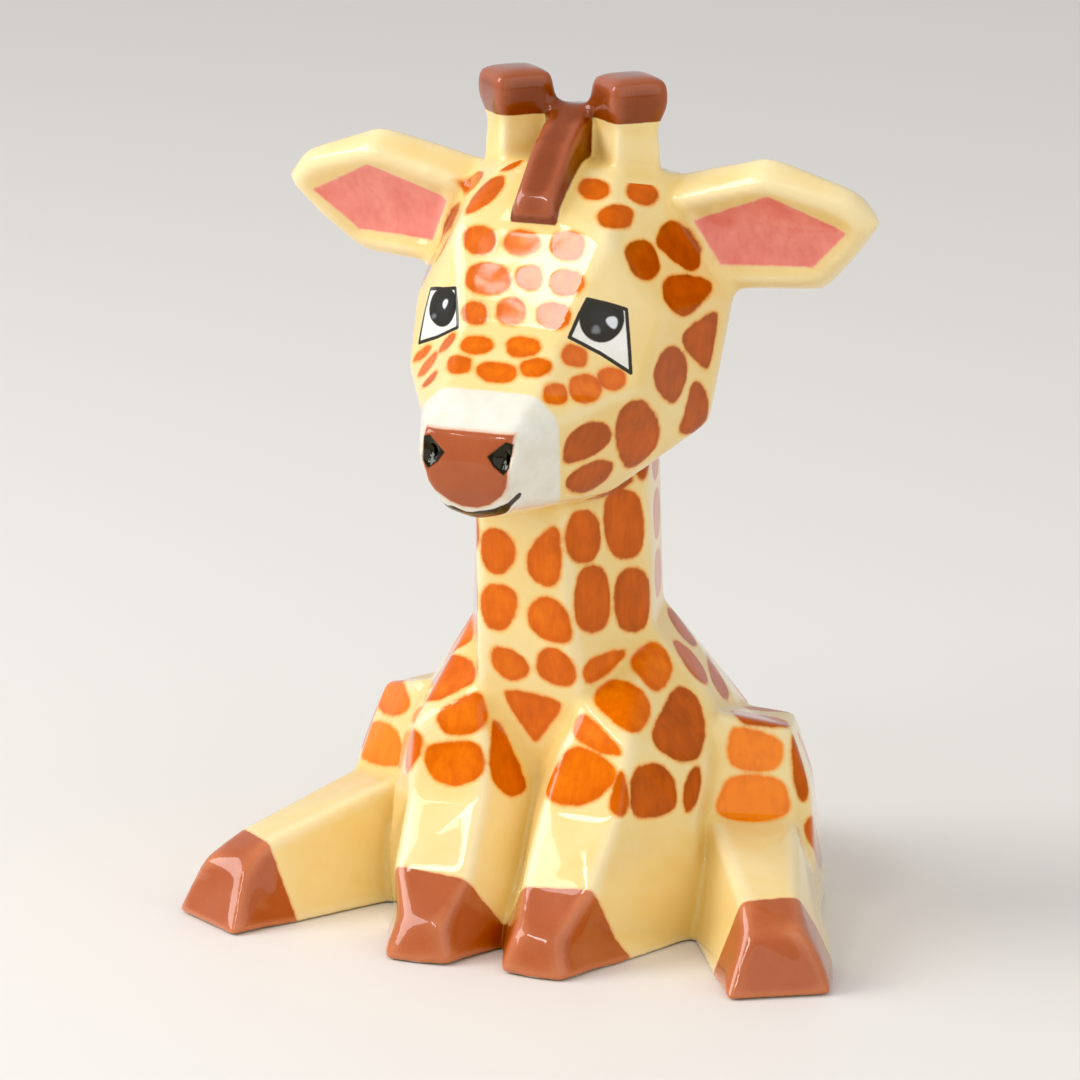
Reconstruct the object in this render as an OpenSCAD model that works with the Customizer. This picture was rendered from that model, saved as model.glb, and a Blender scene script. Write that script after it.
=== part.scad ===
// Faceted sitting giraffe calf: hollow slip-cast earthenware, built from separate
// castings that are luted together and glazed. +Z is up, the face looks along -Y,
// the giraffe's left side is +X. The origin is on the floor under the middle.

/* [Casting] */
// Wall thickness of the hollow castings
wall_t = 5; // [4:0.5:6]
// Diameter of the air passages through the luted joints of neck and head
passage_d = 14; // [8:1:16]
// Diameter of the air passages between the torso and the legs
leg_passage_d = 8; // [5:1:9]
// Diameter of the vent hole in the underside of the torso
vent_d = 10; // [6:1:16]

/* [Head] */
// Half width of the head between the roots of the ears
head_hw = 34; // [32:0.5:36]
// Half width of the muzzle at the cheeks
muzzle_hw = 15; // [13:0.5:17]
// Half width of the nose plate
nose_hw = 9; // [8:0.5:10]
// How far the nose stands out in front of the origin
nose_y = 60; // [57:0.5:63]
// Depth of the nostrils
nostril_depth = 4; // [2:0.5:6]

/* [Ears and horns] */
// Half span over the tips of the ears
ear_tip_x = 66; // [60:0.5:72]
// Depth of the hollow in the front of each ear
ear_dish = 3; // [1:0.5:4]
// Height of the top of the horn caps above the floor
horn_top_z = 176; // [173:0.5:180]
// Half diagonal of the horn stems
horn_r = 6.5; // [5.5:0.25:7.5]
// How far the horn caps overhang their stems
cap_lip = 2.5; // [1:0.25:3]
// Width of the forelock
forelock_w = 9; // [7:0.5:11]
// Width of the mane along the nape
mane_w = 8; // [6:0.5:10]

/* [Neck and body] */
// Half width of the front of the neck
neck_hw = 10; // [9:0.5:11]
// Half width of the neck at its sides
neck_side = 20; // [18:0.5:22]
// Half width of the body over the shoulders
shoulder_hw = 32; // [30:0.5:34]
// How far the rump reaches behind the origin
rump_y = 46; // [42:1:50]

/* [Legs] */
// How far the front hooves reach in front of the origin
fore_toe_y = 58; // [55:0.5:62]
// Half gap between the front hooves at the toe
fore_gap = 5.5; // [4:0.5:7]
// How far the hind hooves stand out to the side
hind_toe_x = 73; // [69:0.5:77]

/* [Hidden] */
$fn = 48;

glaze = [0.94, 0.87, 0.67];
brown = [0.70, 0.37, 0.25];
dark = [0.52, 0.25, 0.18];
pink = [0.94, 0.58, 0.53];

// ---- helpers ----
function sum(v, i = 0) = i < len(v) - 1 ? v[i] + sum(v, i + 1) : v[i];
function mean(v) = sum(v) / len(v);
function rev(f) = [for (i = [len(f) - 1:-1:0]) f[i]];
// turns a face so that it looks away from the point c
function outward(p, f, c) = let (a = p[f[0]], b = p[f[1]], d = p[f[2]])
    cross(b - a, d - a) * ((a + b + d) / 3 - c) > 0 ? rev(f) : f;
// moves points towards the centre c by a factor on each axis
function pinch(v, c, k) = [for (p = v) [c.x + (p.x - c.x) * k.x, c.y + (p.y - c.y) * k.y, c.z + (p.z - c.z) * k.z]];
function mirrored(v) = [for (p = v) [-p.x, p.y, p.z]];
function both(v) = concat(v, mirrored(v));

module blob(v) { hull() polyhedron(points = v, faces = [[for (i = [0:len(v) - 1]) i]]); }

// a solid through rings of equal length, one facet pair between neighbours
module loft(rings) {
    n = len(rings[0]); m = len(rings);
    p = [for (r = rings) each r];
    c0 = mean(rings[0]); c1 = mean(rings[m - 1]);
    sides = [for (i = [0:m - 2], j = [0:n - 1]) let (k = (j + 1) % n, c = mean(concat(rings[i], rings[i + 1])))
        each [outward(p, [i * n + j, i * n + k, (i + 1) * n + k], c), outward(p, [i * n + j, (i + 1) * n + k, (i + 1) * n + j], c)]];
    a = [for (j = [1:n - 2]) outward(p, [0, j, j + 1], c1)];
    b = [for (j = [1:n - 2]) outward(p, [(m - 1) * n, (m - 1) * n + j, (m - 1) * n + j + 1], c0)];
    polyhedron(points = p, faces = concat(sides, a, b));
}
module bar(from, to, d) {
    v = to - from; l = norm(v);
    translate(from) rotate([0, acos(v.z / l), atan2(v.y, v.x)]) cylinder(d = d, h = l);
}

// ---- head ----
// points on the middle plane come first, then those of the left half
head_mid = [[0, -22.5, 152], [0, -10, 158.5], [0, 10, 157], [0, 25, 142], [0, 22, 112],
            [0, -10, 94], [0, -42, 91], [0, -54.5, 94.5]];
head_half = [
    [16.5, -26, 146.5],              // 8 brow corner
    [11, -37.5, 128],                // 9 inner eye corner of the bridge
    [10, -48, 118.5],                // 10 end of the bridge
    [nose_hw, 1 - nose_y, 112],      // 11 top of the nose plate
    [nose_hw + 1, -0.5 - nose_y, 106.5], // 12 side of the nose plate
    [nose_hw - 0.5, 0.5 - nose_y, 100.5], // 13 lower corner of the nose plate
    [4.5, 2.5 - nose_y, 97],         // 14 bottom of the nose plate
    [muzzle_hw, -48.5, 113.5],       // 15 top of the cheek of the muzzle
    [muzzle_hw - 3.5, -39, 94.5],    // 16 jaw at the muzzle
    [7, -54, 96],                    // 17 corner of the mouth
    [27.5, -21, 130],                // 18 outer corner behind the eye
    [25, -31, 117.5],                // 19 cheek under the eye
    [head_hw - 3.5, -6, 105],        // 20 corner of the jaw
    [head_hw, -1, 131.5],            // 21 below the ear
    [22, -1, 155.5],                 // 22 above the ear
    [18, 12, 153],                   // 23 back of the crown
    [29, 14, 134],                   // 24 back of the head
    [25, 13, 108],                   // 25 back of the jaw
    [16, -24, 93],                   // 26 under the jaw
    [12, -12, 157.5]];               // 27 front of the crown
head_n = len(head_mid) + len(head_half);
head_pts = concat(head_mid, head_half, mirrored(head_half));
head_c = [0, -12, 124];
function other(i) = i < len(head_mid) ? i : i + len(head_half);
// plates that cross the middle plane
head_cross = [[0, 8, 9, other(9), other(8)], [9, 10, other(10), other(9)], [10, 11, other(11), other(10)],
    [11, 12, other(12), other(11)], [12, 13, other(13), other(12)], [13, 14, other(14), other(13)], [14, 7, other(14)]];
// plates of the left half
head_side = [[11, 10, 15], [11, 15, 12], [12, 15, 16], [12, 16, 17], [12, 17, 13],
    [13, 17, 14], [14, 17, 7], [17, 16, 6], [17, 6, 7], [16, 26, 6], [16, 20, 26], [6, 26, 5], [26, 25, 5], [26, 20, 25], [5, 25, 4],
    [8, 18, 19], [8, 19, 9], [9, 19, 10], [10, 19, 15], [8, 22, 21], [8, 21, 18], [18, 21, 20], [18, 20, 19],
    [19, 20, 16], [19, 16, 15], [0, 8, 27], [0, 27, 1], [8, 22, 27], [27, 22, 1], [1, 22, 23], [1, 23, 2],
    [22, 21, 24], [22, 24, 23], [21, 20, 25], [21, 25, 24], [2, 23, 24], [2, 24, 3], [3, 24, 25], [3, 25, 4]];
module head_outer() {
    faces = concat([for (f = head_cross) outward(head_pts, f, head_c)],
        [for (f = head_side) outward(head_pts, f, head_c)],
        [for (f = head_side) outward(head_pts, [for (i = f) other(i)], head_c)]);
    polyhedron(points = head_pts, faces = faces);
}
head_in = pinch(both([[15, -24, 142], [13, -38, 117], [25, -18, 126], [28, -4, 128], [27, -6, 109],
    [18, 0, 150], [15, 8, 148], [23, 9, 131], [20, 8, 110], [12, -34, 98], [0, -30, 96], [0, 18, 140], [0, 16, 112]]),
    head_c, [1 - (wall_t - 5) / 30, 1 - (wall_t - 5) / 34, 1 - (wall_t - 5) / 30]);
module nostril(s) {
    p = [[s * 5, -0.2 - nose_y, 108.5], [s * nose_hw, -nose_y - 0.2, 111.5], [s * (nose_hw + 1.4), -nose_y + 0.2, 107.5], [s * (nose_hw - 0.4), -nose_y, 104.5],
         [s * 8, nostril_depth - nose_y, 108], [s * (nose_hw + 1), -2 - nose_y, 108]];
    blob(p);
}
module neck_bore() { translate([0, -8, 50]) cylinder(d = passage_d, h = 60); }

module head_casting() {
    difference() {
        union() {
            color(glaze) head_outer();
        }
        blob(head_in);
        color(dark) nostril(1);
        color(dark) nostril(-1);
        neck_bore();
    }
}

// ---- ears ----
ear_rim = [[24, -8, 151.5], [43, -11, 157], [ear_tip_x - 6, -6, 152], [ear_tip_x - 2.5, -3.5, 147], [ear_tip_x - 8, -1, 140.5], [51, 2, 134.5], [33, -3, 134.5]];
ear_edge = [[22, -1, 155.5], [42.5, -5, 161.5], [ear_tip_x - 5.5, -2.5, 155], [ear_tip_x, -0.5, 148.5], [ear_tip_x - 6.5, 3, 140.5], [51, 7, 131.5], [34, 0, 132]];
ear_back = [[20, 6, 152], [41, 4, 158], [ear_tip_x - 7, 5, 153], [ear_tip_x - 3.5, 5, 147.5], [ear_tip_x - 9, 9, 141.5], [49, 14, 134], [30, 9, 134]];
ear_root = [[14, 0, 150], [14, 6, 150], [24, 0, 135], [22, 8, 136]];
// corners of the sunk floor, from the root's upper corner round to its lower one
ear_floor = [for (p = [[27.5, -6, 147.5], [43.5, -9, 153.5], [ear_tip_x - 8, -3.5, 147], [50, 1, 137.5], [32, -2.5, 137.5]]) p + [0, ear_dish - 2, 0]];
module ear() {
    difference() {
        color(glaze) blob(concat(ear_rim, ear_edge, ear_back, ear_root));
        color(pink) blob(concat(ear_floor, [for (p = pinch(ear_rim, mean(ear_rim), [0.92, 1, 0.9])) p + [0, -0.5, 0]], [for (p = ear_rim) p + [0, -7, 0]]));
        head_outer();
    }
}
module ear_left() { ear(); }
module ear_right() { mirror([1, 0, 0]) ear(); }

// ---- horns ----
horn_c = [12.5, -4.5, 0];
function square4(c, r, z) = [[c.x + r, c.y, z], [c.x, c.y + r, z], [c.x - r, c.y, z], [c.x, c.y - r, z]];
cap_r = horn_r + cap_lip;
module ossicone() {
    difference() {
        union() {
            color(glaze) blob(concat(square4(horn_c, horn_r + 1, 150), square4(horn_c, horn_r + 0.6, 157), square4(horn_c, horn_r, 169),
                [[forelock_w / 2 - 0.1, -4.5, 150], [forelock_w / 2 - 0.1, -4.5, 166]]));
            color(dark) blob(concat(square4(horn_c, cap_r - 1.4, 166.3), square4(horn_c, cap_r, 168.6), square4(horn_c, cap_r + 0.3, horn_top_z - 3.4), square4(horn_c, cap_r - 0.6, horn_top_z)));
        }
        head_outer();
        forelock_block();
    }
}
module ossicone_left() { ossicone(); }
module ossicone_right() { mirror([1, 0, 0]) ossicone(); }

// ---- forelock and mane ----
forelock_side = [[3, 168], [-5, 169], [-15.5, 162.5], [-25, 153.5], [-26.5, 149], [-18, 148], [-6, 155], [3, 155]];
module forelock_block() {
    rotate([90, 0, 90]) translate([0, 0, -forelock_w / 2]) linear_extrude(forelock_w) polygon(forelock_side);
}
module forelock() { color(dark) difference() { forelock_block(); head_outer(); } }

mane_side = [[8, 150], [13, 161], [29, 146], [27, 112], [20, 74], [12, 64], [6, 64], [6, 120]];
module mane_block() {
    rotate([90, 0, 90]) translate([0, 0, -mane_w / 2]) linear_extrude(mane_w) polygon(mane_side);
}
module nape_mane() { color(dark) difference() { mane_block(); head_outer(); neck_outer(); torso_outer(); } }

// ---- neck ----
neck_low = [[neck_hw + 0.5, -29.5, 62.5], [neck_side, -9.5, 62], [16, 7, 64], [6, 13, 66]];
neck_up = [[neck_hw - 0.5, -32.5, 92], [neck_side - 1, -10, 96], [15, 6, 112], [6, 14, 114]];
module neck_outer() { blob(both(concat([for (p = pinch(neck_low, [0, -8, 62], [0.7, 0.7, 1])) p - [0, 0, 6]], neck_low, neck_up))); }
module neck_casting() {
    color(glaze) difference() {
        neck_outer();
        torso_outer();
        head_outer();
        translate([0, -8, 72]) cylinder(d = 2 * (neck_side - 6 - wall_t), h = 14);
        neck_bore();
    }
}

// ---- torso ----
chest_top = [11.5, -27, 50.5];      // top of the chest beside the leg
torso_half = concat([neck_low[1], neck_low[2], neck_low[3], chest_top], [
    [shoulder_hw - 1, -4, 46.5],       // shoulder
    [30, 12, 43], [27, 30, 36],        // flank and hip
    [24, rump_y - 4, 20], [20, rump_y - 2, 4], [19, rump_y - 5, 0],
    [28, -16, 0], [30, 10, 0]]);
torso_pts = concat(both(torso_half), [[0, -22, 31], [0, 14, 65], [0, rump_y - 4, 38], [0, rump_y, 20], [0, rump_y - 1, 4]]);
torso_c = [0, 5, 28];
torso_k = [1 - wall_t / 32, 1 - wall_t / 36, 1 - wall_t / 30];
// the root of the neck stands proud between the shoulders
root_pts = both([neck_low[0], neck_low[1], chest_top, [9, -8, 40], [6, 8, 60]]);
module torso_outer() { blob(torso_pts); blob(root_pts); }
module torso_casting() {
    color(glaze) difference() {
        torso_outer();
        blob(pinch(torso_pts, torso_c, torso_k));
        translate([0, 12, -1]) cylinder(d = vent_d, h = 20);
        neck_bore();
        leg_bores();
    }
}
module leg_bores() {
    for (s = [-1, 1]) {
        bar([s * 15, -34, 18], [s * 14, 0, 26], leg_passage_d);
        bar([s * 46, -14, 14], [s * 14, 10, 22], leg_passage_d);
    }
}

// ---- front legs ----
// each ring: inner front, outer front, outer back, flank, back at the middle, middle in front
fore_rings = [
    [[11.3, -26.8, 50.3], [neck_side - 0.5, -9.5, 61.3], [shoulder_hw - 1.2, -4, 46.3], [27, 2, 44], [9, -8, 48], [9.5, -20, 49]],
    [[8.5, -31, 41.5], [23.5, -32, 43], [34, -13, 36.5], [33, 0, 36], [0, -12, 38], [5, -24, 41]],
    [[6.5, -36, 30], [23, -36, 29.5], [34, -19.5, 24], [33, 0, 24], [0, -14, 28], [0, -22, 31]],
    [[6, -45, 16], [21.5, -47, 16], [34.5, -20.5, 12], [33, -2, 12], [0, -15, 14], [0, -31, 15]],
    [[fore_gap + 2.5, 3 - fore_toe_y, 8.7], [17.5, 4 - fore_toe_y, 8.5], [34.5, -20.5, 6], [33, -3, 6], [0, -15.5, 7], [0, -38, 7]],
    [[fore_gap, 0.5 - fore_toe_y, 0], [20, -fore_toe_y, 0], [34, -20, 0], [33, -4, 0], [0, -16, 0], [0, -41, 0]]];
function leg_in(r, k) = let (c = mean(r)) [for (p = r) c + (p - c) * k];
// keeps a cavity clear of the underside
function floored(r) = [for (p = r) [p.x, p.y, max(p.z, wall_t)]];
fore_k = 1 - wall_t / 12;
module foreleg_outer() { loft(fore_rings); }
module foreleg_left() {
    color(glaze) difference() {
        foreleg_outer();
        torso_outer();
        blob(concat(leg_in(fore_rings[2], fore_k), floored(leg_in(fore_rings[3], fore_k))));
        leg_bores();
    }
}
module foreleg_right() { mirror([1, 0, 0]) foreleg_left(); }

// ---- hind legs ----
// each ring: inner top, outer top, outer middle, outer foot, inner foot
hind_rings = [
    [[24, 22, 39], [41, 18, 39.5], [44.5, 20, 27], [47, 22, 0], [20, 18, 0]],
    [[33, -7, 45], [45.5, 3, 40.5], [50.5, 2, 28], [53, 3, 0], [28, -8, 0]],
    [[34.5, -14, 25], [49.5, -4, 23], [53, -3, 12], [56, -9, 0], [32, -18.5, 0]],
    [[52, -42, 17], [61.5, -35, 17], [65, -31.5, 8], [67, -27.5, 0], [45.5, -41.5, 0]],
    [[55, -48.5, 11.3], [66.5, -44.5, 12.5], [70, -43.5, 6.5], [hind_toe_x, -44.5, 0], [hind_toe_x - 19, -56.5, 0]]];
module hindleg_outer() { loft(hind_rings); }
module hindleg_left() {
    color(glaze) difference() {
        hindleg_outer();
        torso_outer();
        foreleg_outer();
        blob(concat(floored(leg_in(hind_rings[1], 1 - wall_t / 14)), floored(leg_in(hind_rings[2], 1 - wall_t / 12))));
        blob(concat(floored(leg_in(hind_rings[2], 1 - wall_t / 12)), floored(leg_in(hind_rings[3], 1 - wall_t / 9))));
        leg_bores();
    }
}
module hindleg_right() { mirror([1, 0, 0]) hindleg_left(); }

// ---- tail ----
tail_top = [[4, 30, 32], [3.5, rump_y + 3, 28], [3, rump_y + 5, 20], [4, 30, 16], [2.5, rump_y + 8, 9], [2.5, rump_y, 9]];
tail_tuft = [[2.8, rump_y - 1, 10.5], [2.8, rump_y + 9, 10.5], [5, rump_y - 2, 4], [4.5, rump_y + 13, 4], [3, rump_y - 2, 0], [3, rump_y + 14, 0]];
module tail() {
    difference() {
        union() {
            color(glaze) blob(both(tail_top));
            color(brown) blob(both(tail_tuft));
        }
        torso_outer();
    }
}

torso_casting();
neck_casting();
head_casting();
ear_left();
ear_right();
ossicone_left();
ossicone_right();
forelock();
nape_mane();
foreleg_left();
foreleg_right();
hindleg_left();
hindleg_right();
tail();
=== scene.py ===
import math

import bmesh
import bpy
import numpy as np
from mathutils import Matrix, Vector
from mathutils.bvhtree import BVHTree


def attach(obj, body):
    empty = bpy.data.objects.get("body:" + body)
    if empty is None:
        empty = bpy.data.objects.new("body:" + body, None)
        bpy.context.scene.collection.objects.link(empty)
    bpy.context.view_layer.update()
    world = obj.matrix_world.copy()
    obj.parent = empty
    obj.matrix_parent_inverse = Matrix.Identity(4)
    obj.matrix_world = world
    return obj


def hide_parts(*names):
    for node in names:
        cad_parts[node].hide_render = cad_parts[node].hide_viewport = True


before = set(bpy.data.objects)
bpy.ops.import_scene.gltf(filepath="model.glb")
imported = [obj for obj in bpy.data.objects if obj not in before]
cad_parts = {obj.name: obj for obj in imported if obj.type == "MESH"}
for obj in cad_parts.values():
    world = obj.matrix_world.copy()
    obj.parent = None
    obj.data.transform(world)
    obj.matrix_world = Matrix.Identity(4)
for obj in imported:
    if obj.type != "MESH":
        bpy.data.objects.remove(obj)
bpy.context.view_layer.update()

# ---------------------------------------------------------------------------
# The camera, at the photograph's viewing angle. Work is in millimetres; MM turns it into metres.
# ---------------------------------------------------------------------------
MM = 0.001
AZ, EL = math.radians(22.5), math.radians(14.5)
view_d = Vector((math.sin(AZ) * math.cos(EL), -math.cos(AZ) * math.cos(EL), math.sin(EL)))
view_r = Vector((math.cos(AZ), math.sin(AZ), 0))
view_u = Vector((-math.sin(AZ) * math.sin(EL), math.cos(AZ) * math.sin(EL), math.cos(EL)))
scene = bpy.context.scene
cam_data = bpy.data.cameras.new("camera")
cam = bpy.data.objects.new("camera", cam_data)
scene.collection.objects.link(cam)
cam_at = Vector((0, 0, 90)) + view_r * -8.3 + view_u * -13.2 + view_d * 1340.2
rot = Matrix((view_r, view_u, view_d)).transposed().to_4x4()
cam.matrix_world = Matrix.Translation(cam_at * MM) @ rot
cam_data.sensor_width = 36
cam_data.lens = 36 * 6500 / 1080
cam_data.clip_start, cam_data.clip_end = 0.05, 20
scene.camera = cam

# ---------------------------------------------------------------------------
# Shapes: the same corners as the castings, in millimetres
# ---------------------------------------------------------------------------
def mir(ps):
    return [(-x, y, z) for x, y, z in ps]


def both(ps):
    return list(ps) + mir(ps)


def mean(ps):
    return tuple(sum(p[i] for p in ps) / len(ps) for i in range(3))


def pinch(ps, c, k):
    return [tuple(c[i] + (p[i] - c[i]) * k[i] for i in range(3)) for p in ps]


def shift(ps, d):
    return [tuple(p[i] + d[i] for i in range(3)) for p in ps]


def obj_from(bm, name):
    me = bpy.data.meshes.new(name)
    bm.to_mesh(me)
    bm.free()
    ob = bpy.data.objects.new(name, me)
    scene.collection.objects.link(ob)
    return ob


def blob(ps, name="tmp"):
    bm = bmesh.new()
    for p in ps:
        bm.verts.new(p)
    bmesh.ops.remove_doubles(bm, verts=bm.verts, dist=1e-4)
    r = bmesh.ops.convex_hull(bm, input=list(bm.verts))
    dead = {e for e in r["geom_interior"] + r["geom_unused"] if isinstance(e, bmesh.types.BMVert)}
    bmesh.ops.delete(bm, geom=list(dead), context="VERTS")
    bmesh.ops.triangulate(bm, faces=bm.faces)
    bmesh.ops.recalc_face_normals(bm, faces=bm.faces)
    return obj_from(bm, name)


def poly(ps, faces, name="tmp"):
    bm = bmesh.new()
    vs = [bm.verts.new(p) for p in ps]
    for f in faces:
        bm.faces.new([vs[i] for i in f])
    bmesh.ops.triangulate(bm, faces=bm.faces)
    bmesh.ops.recalc_face_normals(bm, faces=bm.faces)
    return obj_from(bm, name)


def loft(rings, name="tmp"):
    n, m = len(rings[0]), len(rings)
    ps = [p for r in rings for p in r]
    fs = []
    for i in range(m - 1):
        for j in range(n):
            k = (j + 1) % n
            fs.append((i * n + j, i * n + k, (i + 1) * n + k))
            fs.append((i * n + j, (i + 1) * n + k, (i + 1) * n + j))
    for j in range(1, n - 1):
        fs.append((0, j + 1, j))
        fs.append(((m - 1) * n, (m - 1) * n + j, (m - 1) * n + j + 1))
    return poly(ps, fs, name)


def drop(ob):
    me = ob.data
    bpy.data.objects.remove(ob)
    if me.users == 0:
        bpy.data.meshes.remove(me)


def applied(ob):
    """Applies the object's modifiers to its mesh."""
    dg = bpy.context.evaluated_depsgraph_get()
    me = bpy.data.meshes.new_from_object(ob.evaluated_get(dg))
    old = ob.data
    ob.modifiers.clear()
    ob.data = me
    bpy.data.meshes.remove(old)
    return ob


def boolean(a, b, how, keep_b=False, solver="MANIFOLD"):
    m = a.modifiers.new("b", "BOOLEAN")
    m.operation = how
    m.solver = solver
    m.object = b
    applied(a)
    if not keep_b:
        drop(b)
    return a


def copy_of(ob, name="copy"):
    c = bpy.data.objects.new(name, ob.data.copy())
    scene.collection.objects.link(c)
    return c


def scaled(ob, c, k):
    me = ob.data
    co = np.zeros(len(me.vertices) * 3, np.float32)
    me.vertices.foreach_get("co", co)
    co = co.reshape(-1, 3)
    co = np.array(c, np.float32) + (co - np.array(c, np.float32)) * np.array(k, np.float32)
    me.vertices.foreach_set("co", co.ravel().astype(np.float32))
    me.update()
    return ob


# head
head_mid = [(0, -22.5, 152), (0, -10, 158.5), (0, 10, 157), (0, 25, 142), (0, 22, 112), (0, -10, 94), (0, -42, 91), (0, -54.5, 94.5)]
head_half = [(16.5, -26, 146.5), (11, -37.5, 128), (10, -48, 118.5), (9, -59, 112), (10, -60.5, 106.5), (8.5, -59.5, 100.5), (4.5, -57.5, 97),
             (15, -48.5, 113.5), (11.5, -39, 94.5), (7, -54, 96), (27.5, -21, 130), (25, -31, 117.5), (30.5, -6, 105), (34, -1, 131.5),
             (22, -1, 155.5), (18, 12, 153), (29, 14, 134), (25, 13, 108), (16, -24, 93), (12, -12, 157.5)]
head_pts = head_mid + head_half + mir(head_half)
head_c = (0, -12, 124)


def other(i):
    return i if i < 8 else i + len(head_half)


head_cross = [(0, 8, 9, other(9), other(8)), (9, 10, other(10), other(9)), (10, 11, other(11), other(10)),
              (11, 12, other(12), other(11)), (12, 13, other(13), other(12)), (13, 14, other(14), other(13)), (14, 7, other(14))]
head_side = [(11, 10, 15), (11, 15, 12), (12, 15, 16), (12, 16, 17), (12, 17, 13), (13, 17, 14), (14, 17, 7), (17, 16, 6), (17, 6, 7),
             (16, 26, 6), (16, 20, 26), (6, 26, 5), (26, 25, 5), (26, 20, 25), (5, 25, 4), (8, 18, 19), (8, 19, 9), (9, 19, 10), (10, 19, 15),
             (8, 22, 21), (8, 21, 18), (18, 21, 20), (18, 20, 19), (19, 20, 16), (19, 16, 15), (0, 8, 27), (0, 27, 1), (8, 22, 27), (27, 22, 1),
             (1, 22, 23), (1, 23, 2), (22, 21, 24), (22, 24, 23), (21, 20, 25), (21, 25, 24), (2, 23, 24), (2, 24, 3), (3, 24, 25), (3, 25, 4)]


def head_outer():
    return poly(head_pts, head_cross + head_side + [tuple(other(i) for i in f) for f in head_side])


# ears
TX = 66
ear_rim = [(24, -8, 151.5), (43, -11, 157), (TX - 6, -6, 152), (TX - 2.5, -3.5, 147), (TX - 8, -1, 140.5), (51, 2, 134.5), (33, -3, 134.5)]
ear_edge = [(22, -1, 155.5), (42.5, -5, 161.5), (TX - 5.5, -2.5, 155), (TX, -0.5, 148.5), (TX - 6.5, 3, 140.5), (51, 7, 131.5), (34, 0, 132)]
ear_back = [(20, 6, 152), (41, 4, 158), (TX - 7, 5, 153), (TX - 3.5, 5, 147.5), (TX - 9, 9, 141.5), (49, 14, 134), (30, 9, 134)]
ear_root = [(14, 0, 150), (14, 6, 150), (24, 0, 135), (22, 8, 136)]
ear_floor = [(27.5, -5, 147.5), (43.5, -8, 153.5), (TX - 8, -2.5, 147), (50, 2, 137.5), (32, -1.5, 137.5)]


def ear_outer(s):
    m = (lambda ps: ps) if s > 0 else mir
    a = blob(m(ear_rim + ear_edge + ear_back + ear_root))
    b = blob(m(ear_floor + shift(pinch(ear_rim, mean(ear_rim), (0.92, 1, 0.9)), (0, -0.5, 0)) + shift(ear_rim, (0, -7, 0))))
    return boolean(a, b, "DIFFERENCE")


# horns
def square4(c, r, z):
    return [(c[0] + r, c[1], z), (c[0], c[1] + r, z), (c[0] - r, c[1], z), (c[0], c[1] - r, z)]


def stem(s):
    c = (12.5 * s, -4.5)
    return blob(square4(c, 7.5, 150) + square4(c, 7.1, 157) + square4(c, 6.5, 170) + [(4.4 * s, -4.5, 150), (4.4 * s, -4.5, 166)])


def cap(s):
    c = (12.5 * s, -4.5)
    return blob(square4(c, 7.6, 166.3) + square4(c, 9, 168.6) + square4(c, 9.3, 172.6) + square4(c, 8.4, 175.8))


def slab(side, w):
    n = len(side)
    ps = [(-w / 2, y, z) for y, z in side] + [(w / 2, y, z) for y, z in side]
    fs = [tuple(range(n)), tuple(range(2 * n - 1, n - 1, -1))] + [(j, (j + 1) % n, n + (j + 1) % n, n + j) for j in range(n)]
    return poly(ps, fs)


forelock_side = [(3, 168), (-5, 169), (-15.5, 162.5), (-25, 153.5), (-26.5, 149), (-18, 148), (-6, 155), (3, 155)]
mane_side = [(8, 150), (13, 161), (29, 146), (27, 112), (20, 74), (12, 64), (6, 64), (6, 120)]

# neck and torso
neck_low = [(10.5, -29.5, 62.5), (20, -9.5, 62), (16, 7, 64), (6, 13, 66)]
neck_up = [(9.5, -32.5, 92), (19, -10, 96), (15, 6, 112), (6, 14, 114)]


def neck_outer():
    return blob(both(shift(pinch(neck_low, (0, -8, 62), (0.7, 0.7, 1)), (0, 0, -6)) + neck_low + neck_up))


chest_top = (11.5, -27, 50.5)
RUMP = 46
torso_half = [neck_low[1], neck_low[2], neck_low[3], chest_top, (31, -4, 46.5), (30, 12, 43), (27, 30, 36), (24, RUMP - 4, 20),
              (20, RUMP - 2, 4), (19, RUMP - 5, 0), (28, -16, 0), (30, 10, 0)]
torso_pts = both(torso_half) + [(0, -22, 31), (0, 14, 65), (0, RUMP - 4, 38), (0, RUMP, 20), (0, RUMP - 1, 4)]
root_pts = both([neck_low[0], neck_low[1], chest_top, (9, -8, 40), (6, 8, 60)])


def torso_outer():
    return boolean(blob(torso_pts), blob(root_pts), "UNION")


fore_rings = [
    [(11.3, -26.8, 50.3), (19.5, -9.5, 61.3), (30.8, -4, 46.3), (27, 2, 44), (9, -8, 48), (9.5, -20, 49)],
    [(8.5, -31, 41.5), (23.5, -32, 43), (34, -13, 36.5), (33, 0, 36), (0, -12, 38), (5, -24, 41)],
    [(6.5, -36, 30), (23, -36, 29.5), (34, -19.5, 24), (33, 0, 24), (0, -14, 28), (0, -22, 31)],
    [(6, -45, 16), (21.5, -47, 16), (34.5, -20.5, 12), (33, -2, 12), (0, -15, 14), (0, -31, 15)],
    [(8, -55, 8.7), (17.5, -54, 8.5), (34.5, -20.5, 6), (33, -3, 6), (0, -15.5, 7), (0, -38, 7)],
    [(5.5, -57.5, 0), (20, -58, 0), (34, -20, 0), (33, -4, 0), (0, -16, 0), (0, -41, 0)]]
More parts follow.
